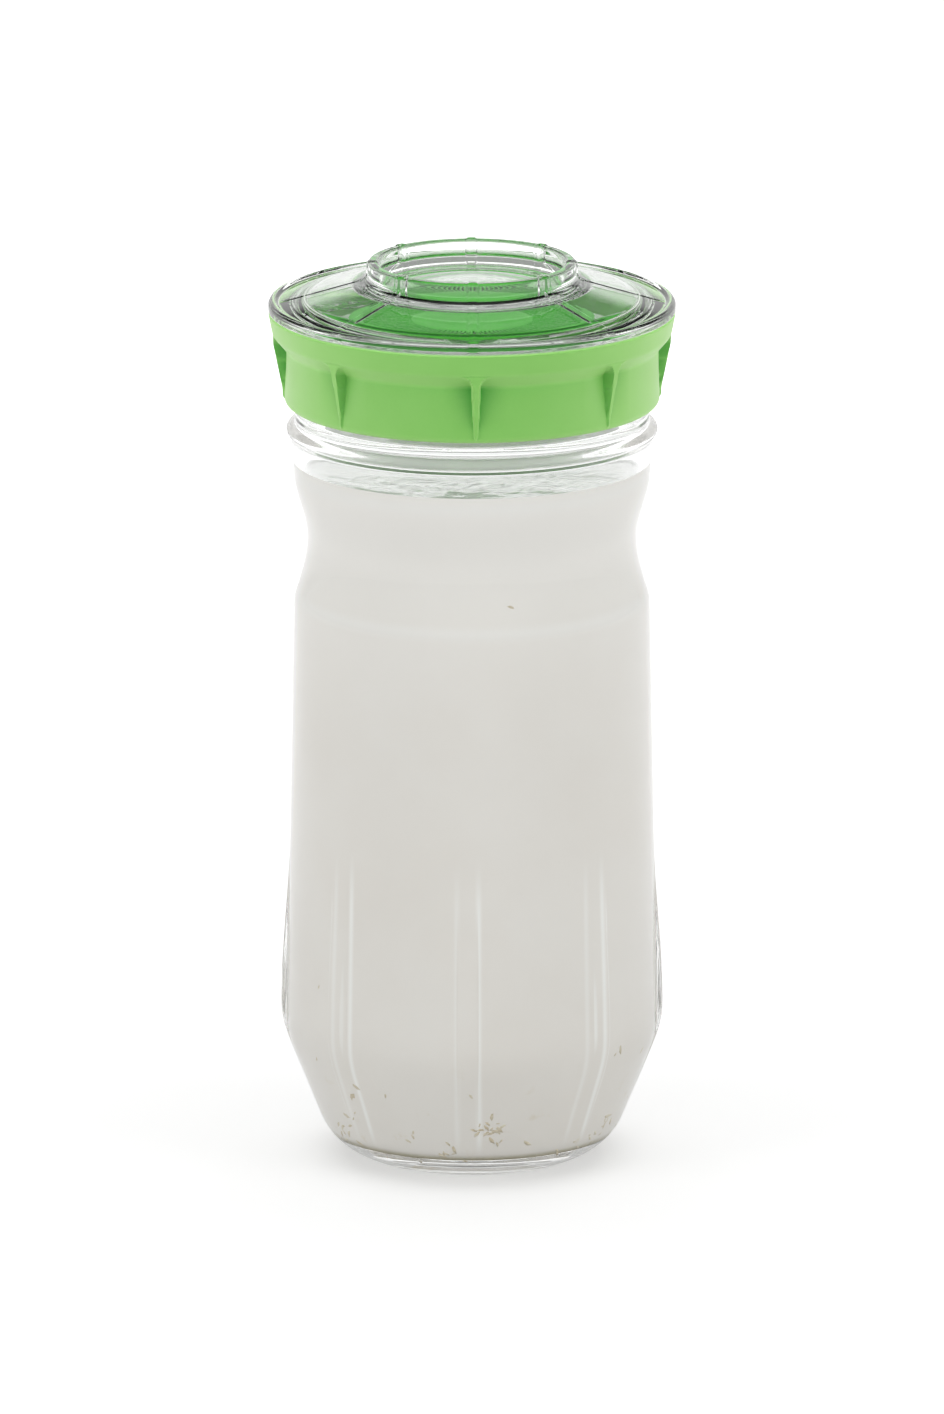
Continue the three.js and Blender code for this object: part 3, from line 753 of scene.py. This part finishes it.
def makeGlassJar():
    outside, threadRows = jarOutside()
    inside = refined(jarInside(jar["wall"], jar["floor"])[::-1], jar["innerRowStep"])
    outline = outside + inside
    marks = {
        "ribOut": [jarRibProud(z) for r, z in outside] + [0] * len(inside),
        "ribSpread": [1] * len(outline),
        "threadWall": [int(row in threadRows) for row in range(len(outline))],
    }
    piece = turnedPiece("glassJar", outline, ribColumns(jarRibs, crowdedAcross), marks)
    addRibs(piece, jarRibs, clearGlass)
    threadFoot = jar["rim"] - jarThread["margin"] - jarThread["span"]
    addThread(piece, jarThread, jarRibs["clock"], threadFoot, 1, clearGlass)
    settle(piece, jar["sharpAngle"])
    dress(piece, "jar", "clear_glass", "glass_jar")


makeGlassJar()
print("glass jar turned")

# Kefir
kefir = {
    "level": topOf("kefir_fill"),
    "wetting": 0.06,  # how far the kefir reaches into the face of the glass, so that no air shows between
    "dryGap": 0.2,  # between the kefir and the floor of the glass, which therefore mirrors
    "dryTop": 6.2,
    "dryFade": 0.8,
    "meniscus": 0.9,
    "meniscusWidth": 3,
    "meniscusHandles": ((0.4, 0.2), (1.2, 0)),  # inward from the edge, and up from the level
    "contactGap": 0.2,
    "rippleHeight": 0.5,
    "rippleScale": 60.0,
    "rippleSeed": 4.0,
    "edgeRipple": 0.15,
    "calmRipple": 0.5,
    "upward": 0.3,  # how far a face of the surface looks up, at the least
    "rowStep": 1.5,
    "surfaceRows": 48,
    "columns": 200,
    "sharpAngle": 60,
}
grains = {
    "lowest": 5.6,
    "highest": 168,
    "settling": 7,
    "settled": 0.03,
    "stray": 0.0002,
    "density": 600000.0,
    "smallest": 0.35,
    "largest": 0.95,
    "seed": 7,
    "columns": 240,
    "length": 1.9,
    "width": 0.8,
    "thickness": 0.4,
    "proud": 0.24,
    "swell": (0.28, 0.2),
    "swellWaves": (3.1, 2.3, 4.7, 2),
    "swellStart": 1.3,
    "sharpAngle": 180,
    "spots": (  # angle from the front in degrees, height, spread, in the places where clumps lie
        (4, 15.6, 2.6), (9, 14, 2.0), (-1, 25.2, 1.0), (-24, 12, 1.2), (-52, 15.5, 1.6),
        (-9, 7.6, 1.6), (22, 10, 1.3), (56, 9, 1.7), (62, 12, 1.6), (56, 31.9, 1.7),
        (12, 142.5, 0.9), (120, 14, 2.4), (190, 12, 2.6), (245, 20, 2.0), (300, 10, 1.9),
    ),
}


def kefirWall():
    glass = refined(jarInside(jar["wall"], jar["floor"]), kefir["rowStep"])
    contact = kefir["level"] + kefir["meniscus"]
    wall = []
    for before, (r, z), after in zip(glass[:1] + glass, glass, glass[1:] + glass[-1:]):
        along = Vector((after[0] - before[0], after[1] - before[1])).normalized()
        wet = clamped((z - kefir["dryTop"]) / kefir["dryFade"])
        inward = kefir["dryGap"] - (kefir["dryGap"] + kefir["wetting"]) * wet
        wall.append([max(0, r - along.y * inward), z + along.x * inward])
    below = [point for point in wall if point[1] < contact - kefir["contactGap"]]
    edge = below[-1][0]
    below.append([edge, contact])
    return below, edge


def makeKefirFill():
    wall, edge = kefirWall()
    level = kefir["level"]
    outline = list(wall)
    handles = [(edge - inward, level + rise) for inward, rise in kefir["meniscusHandles"]]
    curveTo(outline, *handles, (edge - kefir["meniscusWidth"], level), 10)
    top, first = len(wall), len(outline)
    lineTo(outline, 0, level, kefir["surfaceRows"])
    ripple = [0] * top + [kefir["edgeRipple"]] * (first - top) + [1] * (len(outline) - first)
    ripple[first] = kefir["calmRipple"]
    piece = turnedPiece("kefirFill", outline, evenColumns(kefir["columns"]), {"ripple": ripple})
    waves = {"Height": kefir["rippleHeight"] * mm, "Scale": kefir["rippleScale"], "Seed": kefir["rippleSeed"]}
    useTree(piece, rippleTree, waves | {"Material": kefirBehindGlass})
    settle(piece, kefir["sharpAngle"])
    piece.data.materials.append(kefirWetTop)
    lowest = (level - 2 * kefir["rippleHeight"]) * mm
    for face in piece.data.polygons:
        face.material_index = int(face.normal.z > kefir["upward"] and face.center.z > lowest)
    dress(piece, "jar", "kefir", "kefir_fill")


def grainChance(place):
    angle, r, z = math.atan2(place.x, -place.y), math.hypot(place.x, place.y) / mm, place.z / mm
    chance = grains["stray"] + grains["settled"] * math.exp(-(z - grains["lowest"]) / grains["settling"])
    for degrees, height, spread in grains["spots"]:
        off = (angle - math.radians(degrees) + math.pi) % fullTurn - math.pi
        away = math.hypot(off * r, z - height) / spread
        chance += math.exp(-away * away)
    return chance


def makeLump():  # one uneven curd, lying in the plane of its bed
    bpy.ops.mesh.primitive_ico_sphere_add(subdivisions=1, radius=1)
    lump = bpy.context.object
    sunk = grains["proud"] - grains["thickness"]
    large, small = grains["swell"]
    a, b, c, d = grains["swellWaves"]
    for vertex in lump.data.vertices:
        x, y, z = vertex.co
        swell = 1 + large * math.sin(a * x + grains["swellStart"]) * math.cos(b * y)
        swell += small * math.sin(c * y + d * z)
        across = (grains["length"] * x * swell, grains["width"] * y * swell)
        vertex.co = (*across, grains["thickness"] * z * swell + sunk)
    return lump


def makeKefirGrains():
    wall, edge = kefirWall()
    bed = [point for point in wall if grains["lowest"] < point[1] < grains["highest"]]
    columns = evenColumns(grains["columns"])
    piece = turnedPiece("kefirGrains", [[0, grains["lowest"]], *bed], columns, {})
    chance = piece.data.attributes.new("grainChance", "FLOAT", "POINT")
    chance.data.foreach_set("value", [grainChance(v.co) for v in piece.data.vertices])
    lump = makeLump()
    values = {"Lump": lump, "Density": grains["density"], "Seed": grains["seed"], "Material": kefirGrain}
    values |= {"Smallest": grains["smallest"] * mm, "Largest": grains["largest"] * mm}
    useTree(piece, grainTree, values)
    settle(piece, grains["sharpAngle"])
    bpy.data.objects.remove(lump)
    dress(piece, "jar", "kefir")
    print("kefir grains:", len(piece.data.polygons), "faces")


makeKefirFill()
makeKefirGrains()
print("kefir filled in")

# Lid ring
ring = {
    "foot": footOf("lid_ring"),
    "top": topOf("lid_ring"),
    "bore": 42.7,
    "boreStart": 1,  # where its wall begins and ends, over the foot
    "boreEnd": 1.2,
    "boreEase": 0.4,
    "boreRows": 44,
    "panel": 45.1,
    "flare": 3.8,
    "taper": 0.2,
    "well": 43.9,
    "wellDepth": 8.2,
    "wellEase": 0.3,
    "wellRows": 32,
    "ledgeHole": 35.5,
    "ledge": 2,
    "band": 5.1,
    "step": 3.2,
    "footEase": 1.9,
    "stepEase": 0.7,
    "topEase": 0.5,
    "rowStep": 0.9,
    "sharpAngle": 40,
}
ringRibs = {
    "count": 8,
    "clock": math.radians(1.2),
    "reach": 0.18,
    "reachSteps": 72,
    "halfWidth": 0.8,
    "flank": 0.55,
    "thin": 0.3,
    "proud": 0.35,
    "proudFrom": 0.5,
    "proudRise": 1.5,
    "corner": 3,
    "cornerSpread": 3.2,
    "hollow": 0.35,
    "hollowWidth": 8,
}
coverThread = {"starts": 2, "lead": 8, "height": 1, "width": 1.5, "span": 1.9, "margin": 1, "fade": 0.6}
bandFoot = ring["top"] - ring["band"]


def coneRadius(z):
    return ring["panel"] + ring["flare"] - ring["taper"] * (ring["top"] - z)


def ringRibProud(r, z):  # the rib's face runs on down the cone, then stays a little proud down to the foot
    if z > bandFoot:
        return 0
    standing = eased((z - ring["foot"] - ringRibs["proudFrom"]) / ringRibs["proudRise"])
    standing *= eased((bandFoot - z) / ring["step"])
    return (max(0, coneRadius(z) - max(r, ring["panel"])) + ringRibs["proud"] * standing) * mm


def ringRibSpread(z):  # thin at the foot, with rounded corners where the rib meets the band
    climb = clamped((z - ring["foot"]) / (bandFoot - ring["foot"]))
    corner = clamped(1 - (bandFoot - z) / ringRibs["corner"])
    flared = 1 - math.sqrt(1 - corner * corner)
    return ringRibs["thin"] + (1 - ringRibs["thin"]) * climb + ringRibs["cornerSpread"] * flared


def ringOutline():
    foot, top, bore, panel, well = (ring[size] for size in ("foot", "top", "bore", "panel", "well"))
    ledgeTop = top - ring["wellDepth"]
    outer = [[bore, foot + ring["boreStart"]]]
    roundThrough(outer, [
        ((bore, foot), ring["boreEase"], 3),
        ((panel, foot), ring["footEase"], 10),
        ((panel, bandFoot - ring["step"]), ring["stepEase"], 6),
        ((coneRadius(bandFoot), bandFoot), ring["stepEase"], 6),
        ((panel + ring["flare"], top), ring["topEase"], 6),
    ], (well, top))
    outline = refined(outer, ring["rowStep"])
    outerRows = len(outline)
    roundTo(outline, (well, top), (well, ledgeTop), ring["wellEase"], 3)
    wellFirst = len(outline) - 2
    lineTo(outline, well, ledgeTop, ring["wellRows"])
    threadRows = set(range(wellFirst, len(outline)))
    lineTo(outline, ring["ledgeHole"], ledgeTop, 4)
    lineTo(outline, ring["ledgeHole"], ledgeTop - ring["ledge"], 2)
    lineTo(outline, bore, ledgeTop - ring["ledge"], 4)
    boreFirst = len(outline)
    lineTo(outline, bore, foot + ring["boreEnd"], ring["boreRows"])
    threadRows |= set(range(boreFirst, len(outline)))
    return outline, outerRows, threadRows


def makeLidRing():
    outline, outerRows, threadRows = ringOutline()
    ribbed = [ringRibProud(r, z) for r, z in outline[:outerRows]]
    marks = {
        "ribOut": ribbed + [0] * (len(outline) - outerRows),
        "ribSpread": [ringRibSpread(z) for r, z in outline],
        "threadWall": [int(row in threadRows) for row in range(len(outline))],
    }
    piece = turnedPiece("lidRing", outline, ribColumns(ringRibs, evenAcross), marks)
    addRibs(piece, ringRibs, greenPlastic)
    upperFoot = ring["top"] - coverThread["margin"] - coverThread["span"]
    lowerFoot = ring["foot"] + jarThread["margin"]
    for thread, threadFoot in ((coverThread, upperFoot), (jarThread, lowerFoot)):
        addThread(piece, thread, ringRibs["clock"], threadFoot, -1, greenPlastic)
    settle(piece, ring["sharpAngle"])
    dress(piece, "lid", "green_plastic", "lid_ring")


makeLidRing()
print("lid ring turned")

# Strainer
strainer = {
    "foot": footOf("strainer"),
    "top": topOf("strainer"),
    "clock": math.radians(1.2),
    "wall": 1.8,
    "rimThickness": 1.3,
    "rimRadius": 38.9,
    "spigot": 35.1,
    "trough": 4,
    "drop": 2.6,
    "slotCount": 100,
    "slotHub": 14.5,
    "slotMargin": 1.5,
    "slotInner": 0.4,
    "slotOuter": 0.8,
    "edgeEase": 0.4,
    "hubEase": 0.2,
    "barEase": 0.3,  # share of a bar's half width
    "lap": 0.15,
    "shellStep": 1.0,
    "shellColumns": 240,
    "hubStep": 2.0,
    "hubColumns": 160,
    "sharpAngle": 40,
}


def strainerShell():
    foot, top, spigot, rimRadius, slotHub = (
        strainer[size] for size in ("foot", "top", "spigot", "rimRadius", "slotHub"))
    seat = foot + strainer["drop"]
    troughOuter = spigot - strainer["wall"]
    troughInner = troughOuter - strainer["trough"]
    hat = troughInner - strainer["wall"]
    slotEnd = hat - strainer["slotMargin"]
    under = top - strainer["wall"]
    rimTop = seat + strainer["rimThickness"]
    troughFloor = foot + strainer["wall"]
    corners = [(hat, under), (hat, foot), (spigot, foot), (spigot, seat), (rimRadius, seat)]
    corners += [(rimRadius, rimTop), (troughOuter, rimTop), (troughOuter, troughFloor)]
    corners += [(troughInner, troughFloor), (troughInner, top)]
    outline = [[slotEnd, under]]
    roundThrough(outline, [(corner, strainer["edgeEase"], 4) for corner in corners], (slotEnd, top))
    lineTo(outline, slotEnd, top)
    hub = [[0, under]]
    hubCorners = ((slotHub, under), (slotHub, top))
    roundThrough(hub, [(corner, strainer["hubEase"], 2) for corner in hubCorners], (0, top))
    lineTo(hub, 0, top)
    return outline, hub, slotEnd


def makeBar(slotEnd):  # one bar between two slots, rounded along its upper edges
    top, slotHub = strainer["top"], strainer["slotHub"]
    under = top - strainer["wall"]
    points = []
    for r, slot, lap in ((slotHub, strainer["slotInner"], -1), (slotEnd, strainer["slotOuter"], 1)):
        half = (fullTurn * r / strainer["slotCount"] - slot) / 2
        away = r + lap * strainer["lap"]
        ease = half * strainer["barEase"]
        section = [(-half, under), (half, under), (half, top - ease)]
        section += [(half - ease, top), (ease - half, top), (-half, top - ease)]
        points += [(across * mm, -away * mm, z * mm) for across, z in section]
    faces = [[side, (side + 1) % 6, (side + 1) % 6 + 6, side + 6] for side in range(6)]
    faces += [[5, 4, 3, 2, 1, 0], [6, 7, 8, 9, 10, 11]]
    mesh = bpy.data.meshes.new("strainerBar")
    mesh.from_pydata(points, [], faces)
    return placePiece("strainerBar", mesh)


def makeStrainer():
    outline, hub, slotEnd = strainerShell()
    shellColumns, hubColumns = evenColumns(strainer["shellColumns"]), evenColumns(strainer["hubColumns"])
    shell = turnedMesh("strainerShell", refined(outline, strainer["shellStep"]), shellColumns, {})
    disc = turnedMesh("strainerHub", refined(hub, strainer["hubStep"]), hubColumns, {})
    piece = placePiece("strainer_slotted", joinMeshes("strainer_slotted", [shell, disc]))
    bar = makeBar(slotEnd)
    step = fullTurn / strainer["slotCount"]
    values = {"Bar": bar, "Bar Count": strainer["slotCount"], "Clock": strainer["clock"] + step / 2}
    useTree(piece, barTree, values | {"Material": shadedStrainerPlastic})
    settle(piece, strainer["sharpAngle"])
    bpy.data.objects.remove(bar)
    dress(piece, "lid", "green_plastic", "strainer")


makeStrainer()
print("strainer slotted")

# Seals
seals = {
    "jarSeal": {"node": "jar_seal", "body": "lid_lift", "inner": 37.6},
    "coverSeal": {"node": "cover_seal", "body": "cover_lift", "inner": 39.3},
}
sealRound = {"ease": 0.5, "rowStep": 0.8, "columns": 180}


def makeSeal(name, seal):
    foot, top = footOf(seal["node"]), topOf(seal["node"])
    inner, outer = seal["inner"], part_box(seal["node"])[1].x / mm
    corners = [(outer, foot), (outer, top), (inner, top), (inner, foot)]
    outline = [[(inner + outer) / 2, foot]]
    roundThrough(outline, [(corner, sealRound["ease"], 5) for corner in corners], outline[0])
    outline = refined(outline, sealRound["rowStep"])
    piece = turnedPiece(name, outline, evenColumns(sealRound["columns"]), {})
    piece.data.materials.append(paleSilicone)
    piece.data.shade_smooth()
    dress(piece, seal["body"], "silicone", seal["node"])


for sealName, sealSizes in seals.items():
    makeSeal(sealName, sealSizes)
print("seals laid in")

# Cover
cover = {
    "foot": footOf("cover"),
    "radius": 48.9,
    "rimGap": 0.3,  # over the ring
    "rimThickness": 1.8,
    "rimEase": 0.35,
    "beadRise": 0.8,
    "beadWidth": 2.6,
    "beadTurn": 0.72 * math.pi,
    "grooveRise": 0.1,
    "grooveEase": 0.5,
    "skirtRadius": 42.4,
    "skirtWall": 2.4,
    "skirtEase": 0.6,
    "skirtGap": 0.4,  # between the thread's wall and the rim
    "skirtRows": 26,
    "wall": 2.4,
    "flangeRise": 5.7,
    "flangeEase": 1.0,
    "cupHeight": 4.5,
    "cupRadius": 24.9,
    "cupSpread": 1.5,
    "cupDraft": 0.3,
    "cupWall": 2.3,
    "cupEase": 0.7,
    "floorDrop": 1.8,
    "floorCrown": 2,
    "floorEase": 0.8,
    "floorAim": 0.75,  # share of the crown that the edge of the floor heads for
    "floorHandle": (7, 0.55),  # inward from the edge, and share of the crown
    "underEdge": 1,  # either side of the floor's edge, where the underside turns down
    "underHandle": (6, 0.4),  # inward and up from the edge
    "underDip": 0.1,
    "flangeHandle": 1.2,
    "flangeStart": 1.5,  # out from the cup's foot
    "rowStep": 0.9,
    "sharpAngle": 50,
}
coverRibs = {
    "count": 8,
    "clock": math.radians(0.4),
    "reach": 0.074,
    "reachSteps": 30,
    "proud": 0.3,
    "halfWidth": 0.7,
    "flank": 0.8,
    "flangeShare": 0.4,
    "cupReach": 3,  # out from the cup's foot
    "cupFade": 4,
    "grooveReach": 0.3,
    "grooveFade": 1.5,
    "innerGap": 0.05,
}


def coverOutline():
    foot, radius, skirt, cup, wall, crown, cupEase = (cover[size] for size in (
        "foot", "radius", "skirtRadius", "cupRadius", "wall", "floorCrown", "cupEase"))
    rimFoot = ring["top"] + cover["rimGap"]
    rimTop = rimFoot + cover["rimThickness"]
    cupFoot = rimTop + cover["flangeRise"]
    cupTop = cupFoot + cover["cupHeight"]
    footRadius = cup + cover["cupSpread"]
    slope = cover["flangeRise"] / (radius - footRadius)
    skirtInner = skirt - cover["skirtWall"]
    floorRadius = cup - cover["cupWall"]
    floorEdge = cupFoot - cover["floorDrop"]
    floorTop = floorEdge + crown

    def underFlange(r):
        return rimTop + slope * (radius - r) - wall

    low = [[0, floorTop - wall]]
    edge, under = cover["underEdge"], floorEdge - wall
    inward, rise = cover["underHandle"]
    curveTo(low, (floorRadius / 2, floorTop - wall), (floorRadius - inward, under + rise),
            (floorRadius - edge, under), 14)
    flange = footRadius + cover["flangeStart"]
    curveTo(low, (floorRadius + edge, under - cover["underDip"]),
            (footRadius - cover["flangeHandle"], underFlange(footRadius)), (flange, underFlange(flange)), 8)
    roundThrough(low, [
        ((skirtInner, underFlange(skirtInner)), cover["flangeEase"], 5),
        ((skirtInner, foot), cover["skirtEase"], 4),
        ((skirt, foot), cover["skirtEase"], 4),
    ], (skirt, rimFoot))
    low = refined(low, cover["rowStep"])
    first = len(low)
    lineTo(low, skirt, rimFoot - cover["skirtGap"], cover["skirtRows"])
    high = [low[-1]]
    roundTo(high, (skirt, rimFoot), (radius, rimFoot), cover["rimEase"], 3)
    roundTo(high, (radius, rimFoot), (radius, rimTop), cover["rimEase"], 4)
    bead = cover["beadWidth"] / 2
    arcTo(high, (radius - bead, rimTop + cover["beadRise"] - bead), bead, 0, cover["beadTurn"], 14)
    groove = (radius - cover["beadWidth"], rimTop + cover["grooveRise"])
    roundTo(high, groove, (footRadius, cupFoot), cover["grooveEase"], 5)
    wallFoot = cup + cover["cupDraft"]
    roundThrough(high, [
        ((wallFoot, cupFoot + slope * (footRadius - wallFoot)), cover["cupSpread"], 10),
        ((cup, cupTop), cupEase, 7),
        ((floorRadius, cupTop), cupEase, 7),
        ((floorRadius, floorEdge), cover["floorEase"], 6),
    ], (floorRadius / 2, floorEdge + cover["floorAim"] * crown))
    inward, share = cover["floorHandle"]
    curveTo(high, (floorRadius - inward, floorEdge + share * crown), (floorRadius / 3, floorTop),
            (0, floorTop), 20)
    return low, refined(high, cover["rowStep"])[1:], range(first, len(low))


def coverRibRise(outline):  # ribs stand square to the surface, full on the cup wall and faint on the flange
    cupReach = cover["cupRadius"] + cover["cupSpread"] + coverRibs["cupReach"]
    grooveReach = cover["radius"] - cover["beadWidth"] + coverRibs["grooveReach"]
    inner = cover["cupRadius"] - cover["cupWall"] - coverRibs["innerGap"]
    out, up = [], []
    for before, (r, z), after in zip(outline[-1:] + outline[:-1], outline, outline[1:] + outline[:1]):
        along = Vector((after[0] - before[0], after[1] - before[1])).normalized()
        onCup = eased((cupReach - r) / coverRibs["cupFade"])
        onFlange = coverRibs["flangeShare"] * eased((grooveReach - r) / coverRibs["grooveFade"])
        proud = coverRibs["proud"] * mm * (onCup + (1 - onCup) * onFlange) if r > inner else 0
        out.append(along.y * proud)
        up.append(-along.x * proud)
    return out, up


def makeCover():
    low, high, threadRows = coverOutline()
    outline = low + high
    out, up = coverRibRise(high)
    marks = {
        "ribOut": [0] * len(low) + out,
        "ribUp": [0] * len(low) + up,
        "ribSpread": [1] * len(outline),
        "threadWall": [int(row in threadRows) for row in range(len(outline))],
    }
    piece = turnedPiece("clearCover", outline, ribColumns(coverRibs, evenAcross), marks)
    addRibs(piece, coverRibs, clearPlastic)
    addThread(piece, coverThread, coverRibs["clock"], cover["foot"] + coverThread["margin"], 1, clearPlastic)
    settle(piece, cover["sharpAngle"])
    dress(piece, "cover", "clear_plastic", "cover")


makeCover()
print("cover turned")

# Camera, from where the photograph was taken
camera = {"lens": 493.9, "distance": 4.675, "elevation": math.radians(14.2), "target": Vector((0, 0, 0.1103))}


def aim(name, data, place, towards):
    aimed = bpy.data.objects.new(name, data)
    aimed.location = place
    aimed.rotation_mode = "QUATERNION"
    aimed.rotation_quaternion = towards.to_track_quat("-Z", "Y")
    bpy.context.scene.collection.objects.link(aimed)
    return aimed


def makeCamera():
    data = bpy.data.cameras.new("camera")
    data.lens = camera["lens"]
    data.clip_end = 50
    back = Vector((0, -math.cos(camera["elevation"]), math.sin(camera["elevation"])))
    bpy.context.scene.camera = aim("camera", data, camera["target"] + back * camera["distance"], -back)


# Floor and light
stage = {
    "floorSize": 6.0,
    "floorColour": (0.62, 0.62, 0.62, 1),
    "floorGlow": 0.5,
    "glowFrom": 0.08,
    "glowTo": 0.45,
    "mirrored": 0.7,  # the floor's glow in polished faces
    "white": (1, 1, 1, 1),
    "backdrop": 1.0,
    "room": 0.08,
    "throughGlass": 0.35,  # the room as clear walls bend it
    "frontEdge": 0.46,
    "backEdge": 0.34,
    "edgeTurn": (-0.4, 0.05),  # from front to back, along y
    "edgeSoft": 0.05,
    "overhead": 0.3,
    "overheadRise": (0.86, 0.94),
}
lamps = {
    "overhead": {"at": (0.0, 0.2, 1.5), "size": 1.2, "power": 13.0},
    "front": {"at": (0.0, -1.7, 0.9), "size": 1.0, "power": 2.2},
    "left": {"at": (-1.35, -0.72, 0.6), "size": 0.8, "power": 5.0},
    "right": {"at": (1.35, -0.72, 0.6), "size": 0.8, "power": 5.0},
}


def makeFloor():
    half = stage["floorSize"] / 2
    mesh = bpy.data.meshes.new("floor")
    corners = [(-half, -half, 0), (half, -half, 0), (half, half, 0), (-half, half, 0)]
    mesh.from_pydata(corners, [], [[0, 1, 2, 3]])
    floor = placePiece("floor", mesh)
    shader = {"Base Color": stage["floorColour"], "Emission Color": stage["white"]}
    shader |= {"Roughness": 0.9, "Specular IOR Level": 0.0}
    material, tree, surface, place = newMaterial("paleFloor", shader)
    sums = sumsIn(tree)
    path = addNode(tree, "ShaderNodeLightPath")
    seen = sums("MAXIMUM", path["Is Camera Ray"], path["Is Transmission Ray"])
    seen = sums("MAXIMUM", seen, sums("MULTIPLY", path["Is Glossy Ray"], stage["mirrored"]))
    away = addNode(tree, "ShaderNodeVectorMath", {0: place}, operation="LENGTH")["Value"]
    far = easeIn(tree, away, stage["glowFrom"], stage["glowTo"])
    glow = sums("MULTIPLY_ADD", far, 1 - stage["floorGlow"], stage["floorGlow"])
    feed(tree, surface, {"Emission Strength": sums("MULTIPLY", seen, glow)})
    mesh.materials.append(material)


def makeWorld():  # white to the eye; to glass a bright low backdrop and a panel overhead in a dim room
    world = bpy.data.worlds.new("studio")
    world.use_nodes = True
    bpy.context.scene.world = world
    tree = world.node_tree
    sums = sumsIn(tree)
    _, y, z = addNode(tree, "ShaderNodeSeparateXYZ", {0: addNode(tree, "ShaderNodeTexCoord")["Generated"]})
    behind = easeIn(tree, y, *stage["edgeTurn"])
    edge = sums("MULTIPLY_ADD", behind, stage["backEdge"] - stage["frontEdge"], stage["frontEdge"])
    low = easeIn(tree, sums("SUBTRACT", z, edge), stage["edgeSoft"], -stage["edgeSoft"])
    level = sums("MULTIPLY_ADD", low, stage["backdrop"] - stage["room"], stage["room"])
    above = sums("MULTIPLY", easeIn(tree, z, *stage["overheadRise"]), stage["overhead"])
    path = addNode(tree, "ShaderNodeLightPath")
    bent = sums("MULTIPLY", path["Is Transmission Ray"], stage["throughGlass"])
    for other in (above, bent, path["Is Camera Ray"]):
        level = sums("MAXIMUM", level, other)
    feed(tree, tree.nodes["Background"], {"Strength": level, "Color": stage["white"]})


def makeLamp(name, lamp):
    data = bpy.data.lights.new(name, "AREA")
    data.size = lamp["size"]
    data.energy = lamp["power"]
    light = aim(name, data, lamp["at"], camera["target"] - Vector(lamp["at"]))
    light.visible_camera = False
    light.visible_glossy = False
    light.visible_transmission = False


makeCamera()
makeFloor()
makeWorld()
for lampName, lampSizes in lamps.items():
    makeLamp(lampName, lampSizes)
scene = bpy.context.scene
scene.view_settings.view_transform = "Standard"
scene.cycles.max_bounces = 24
scene.cycles.transmission_bounces = 20
scene.cycles.glossy_bounces = 8
scene.cycles.transparent_max_bounces = 24
print("stage lit")
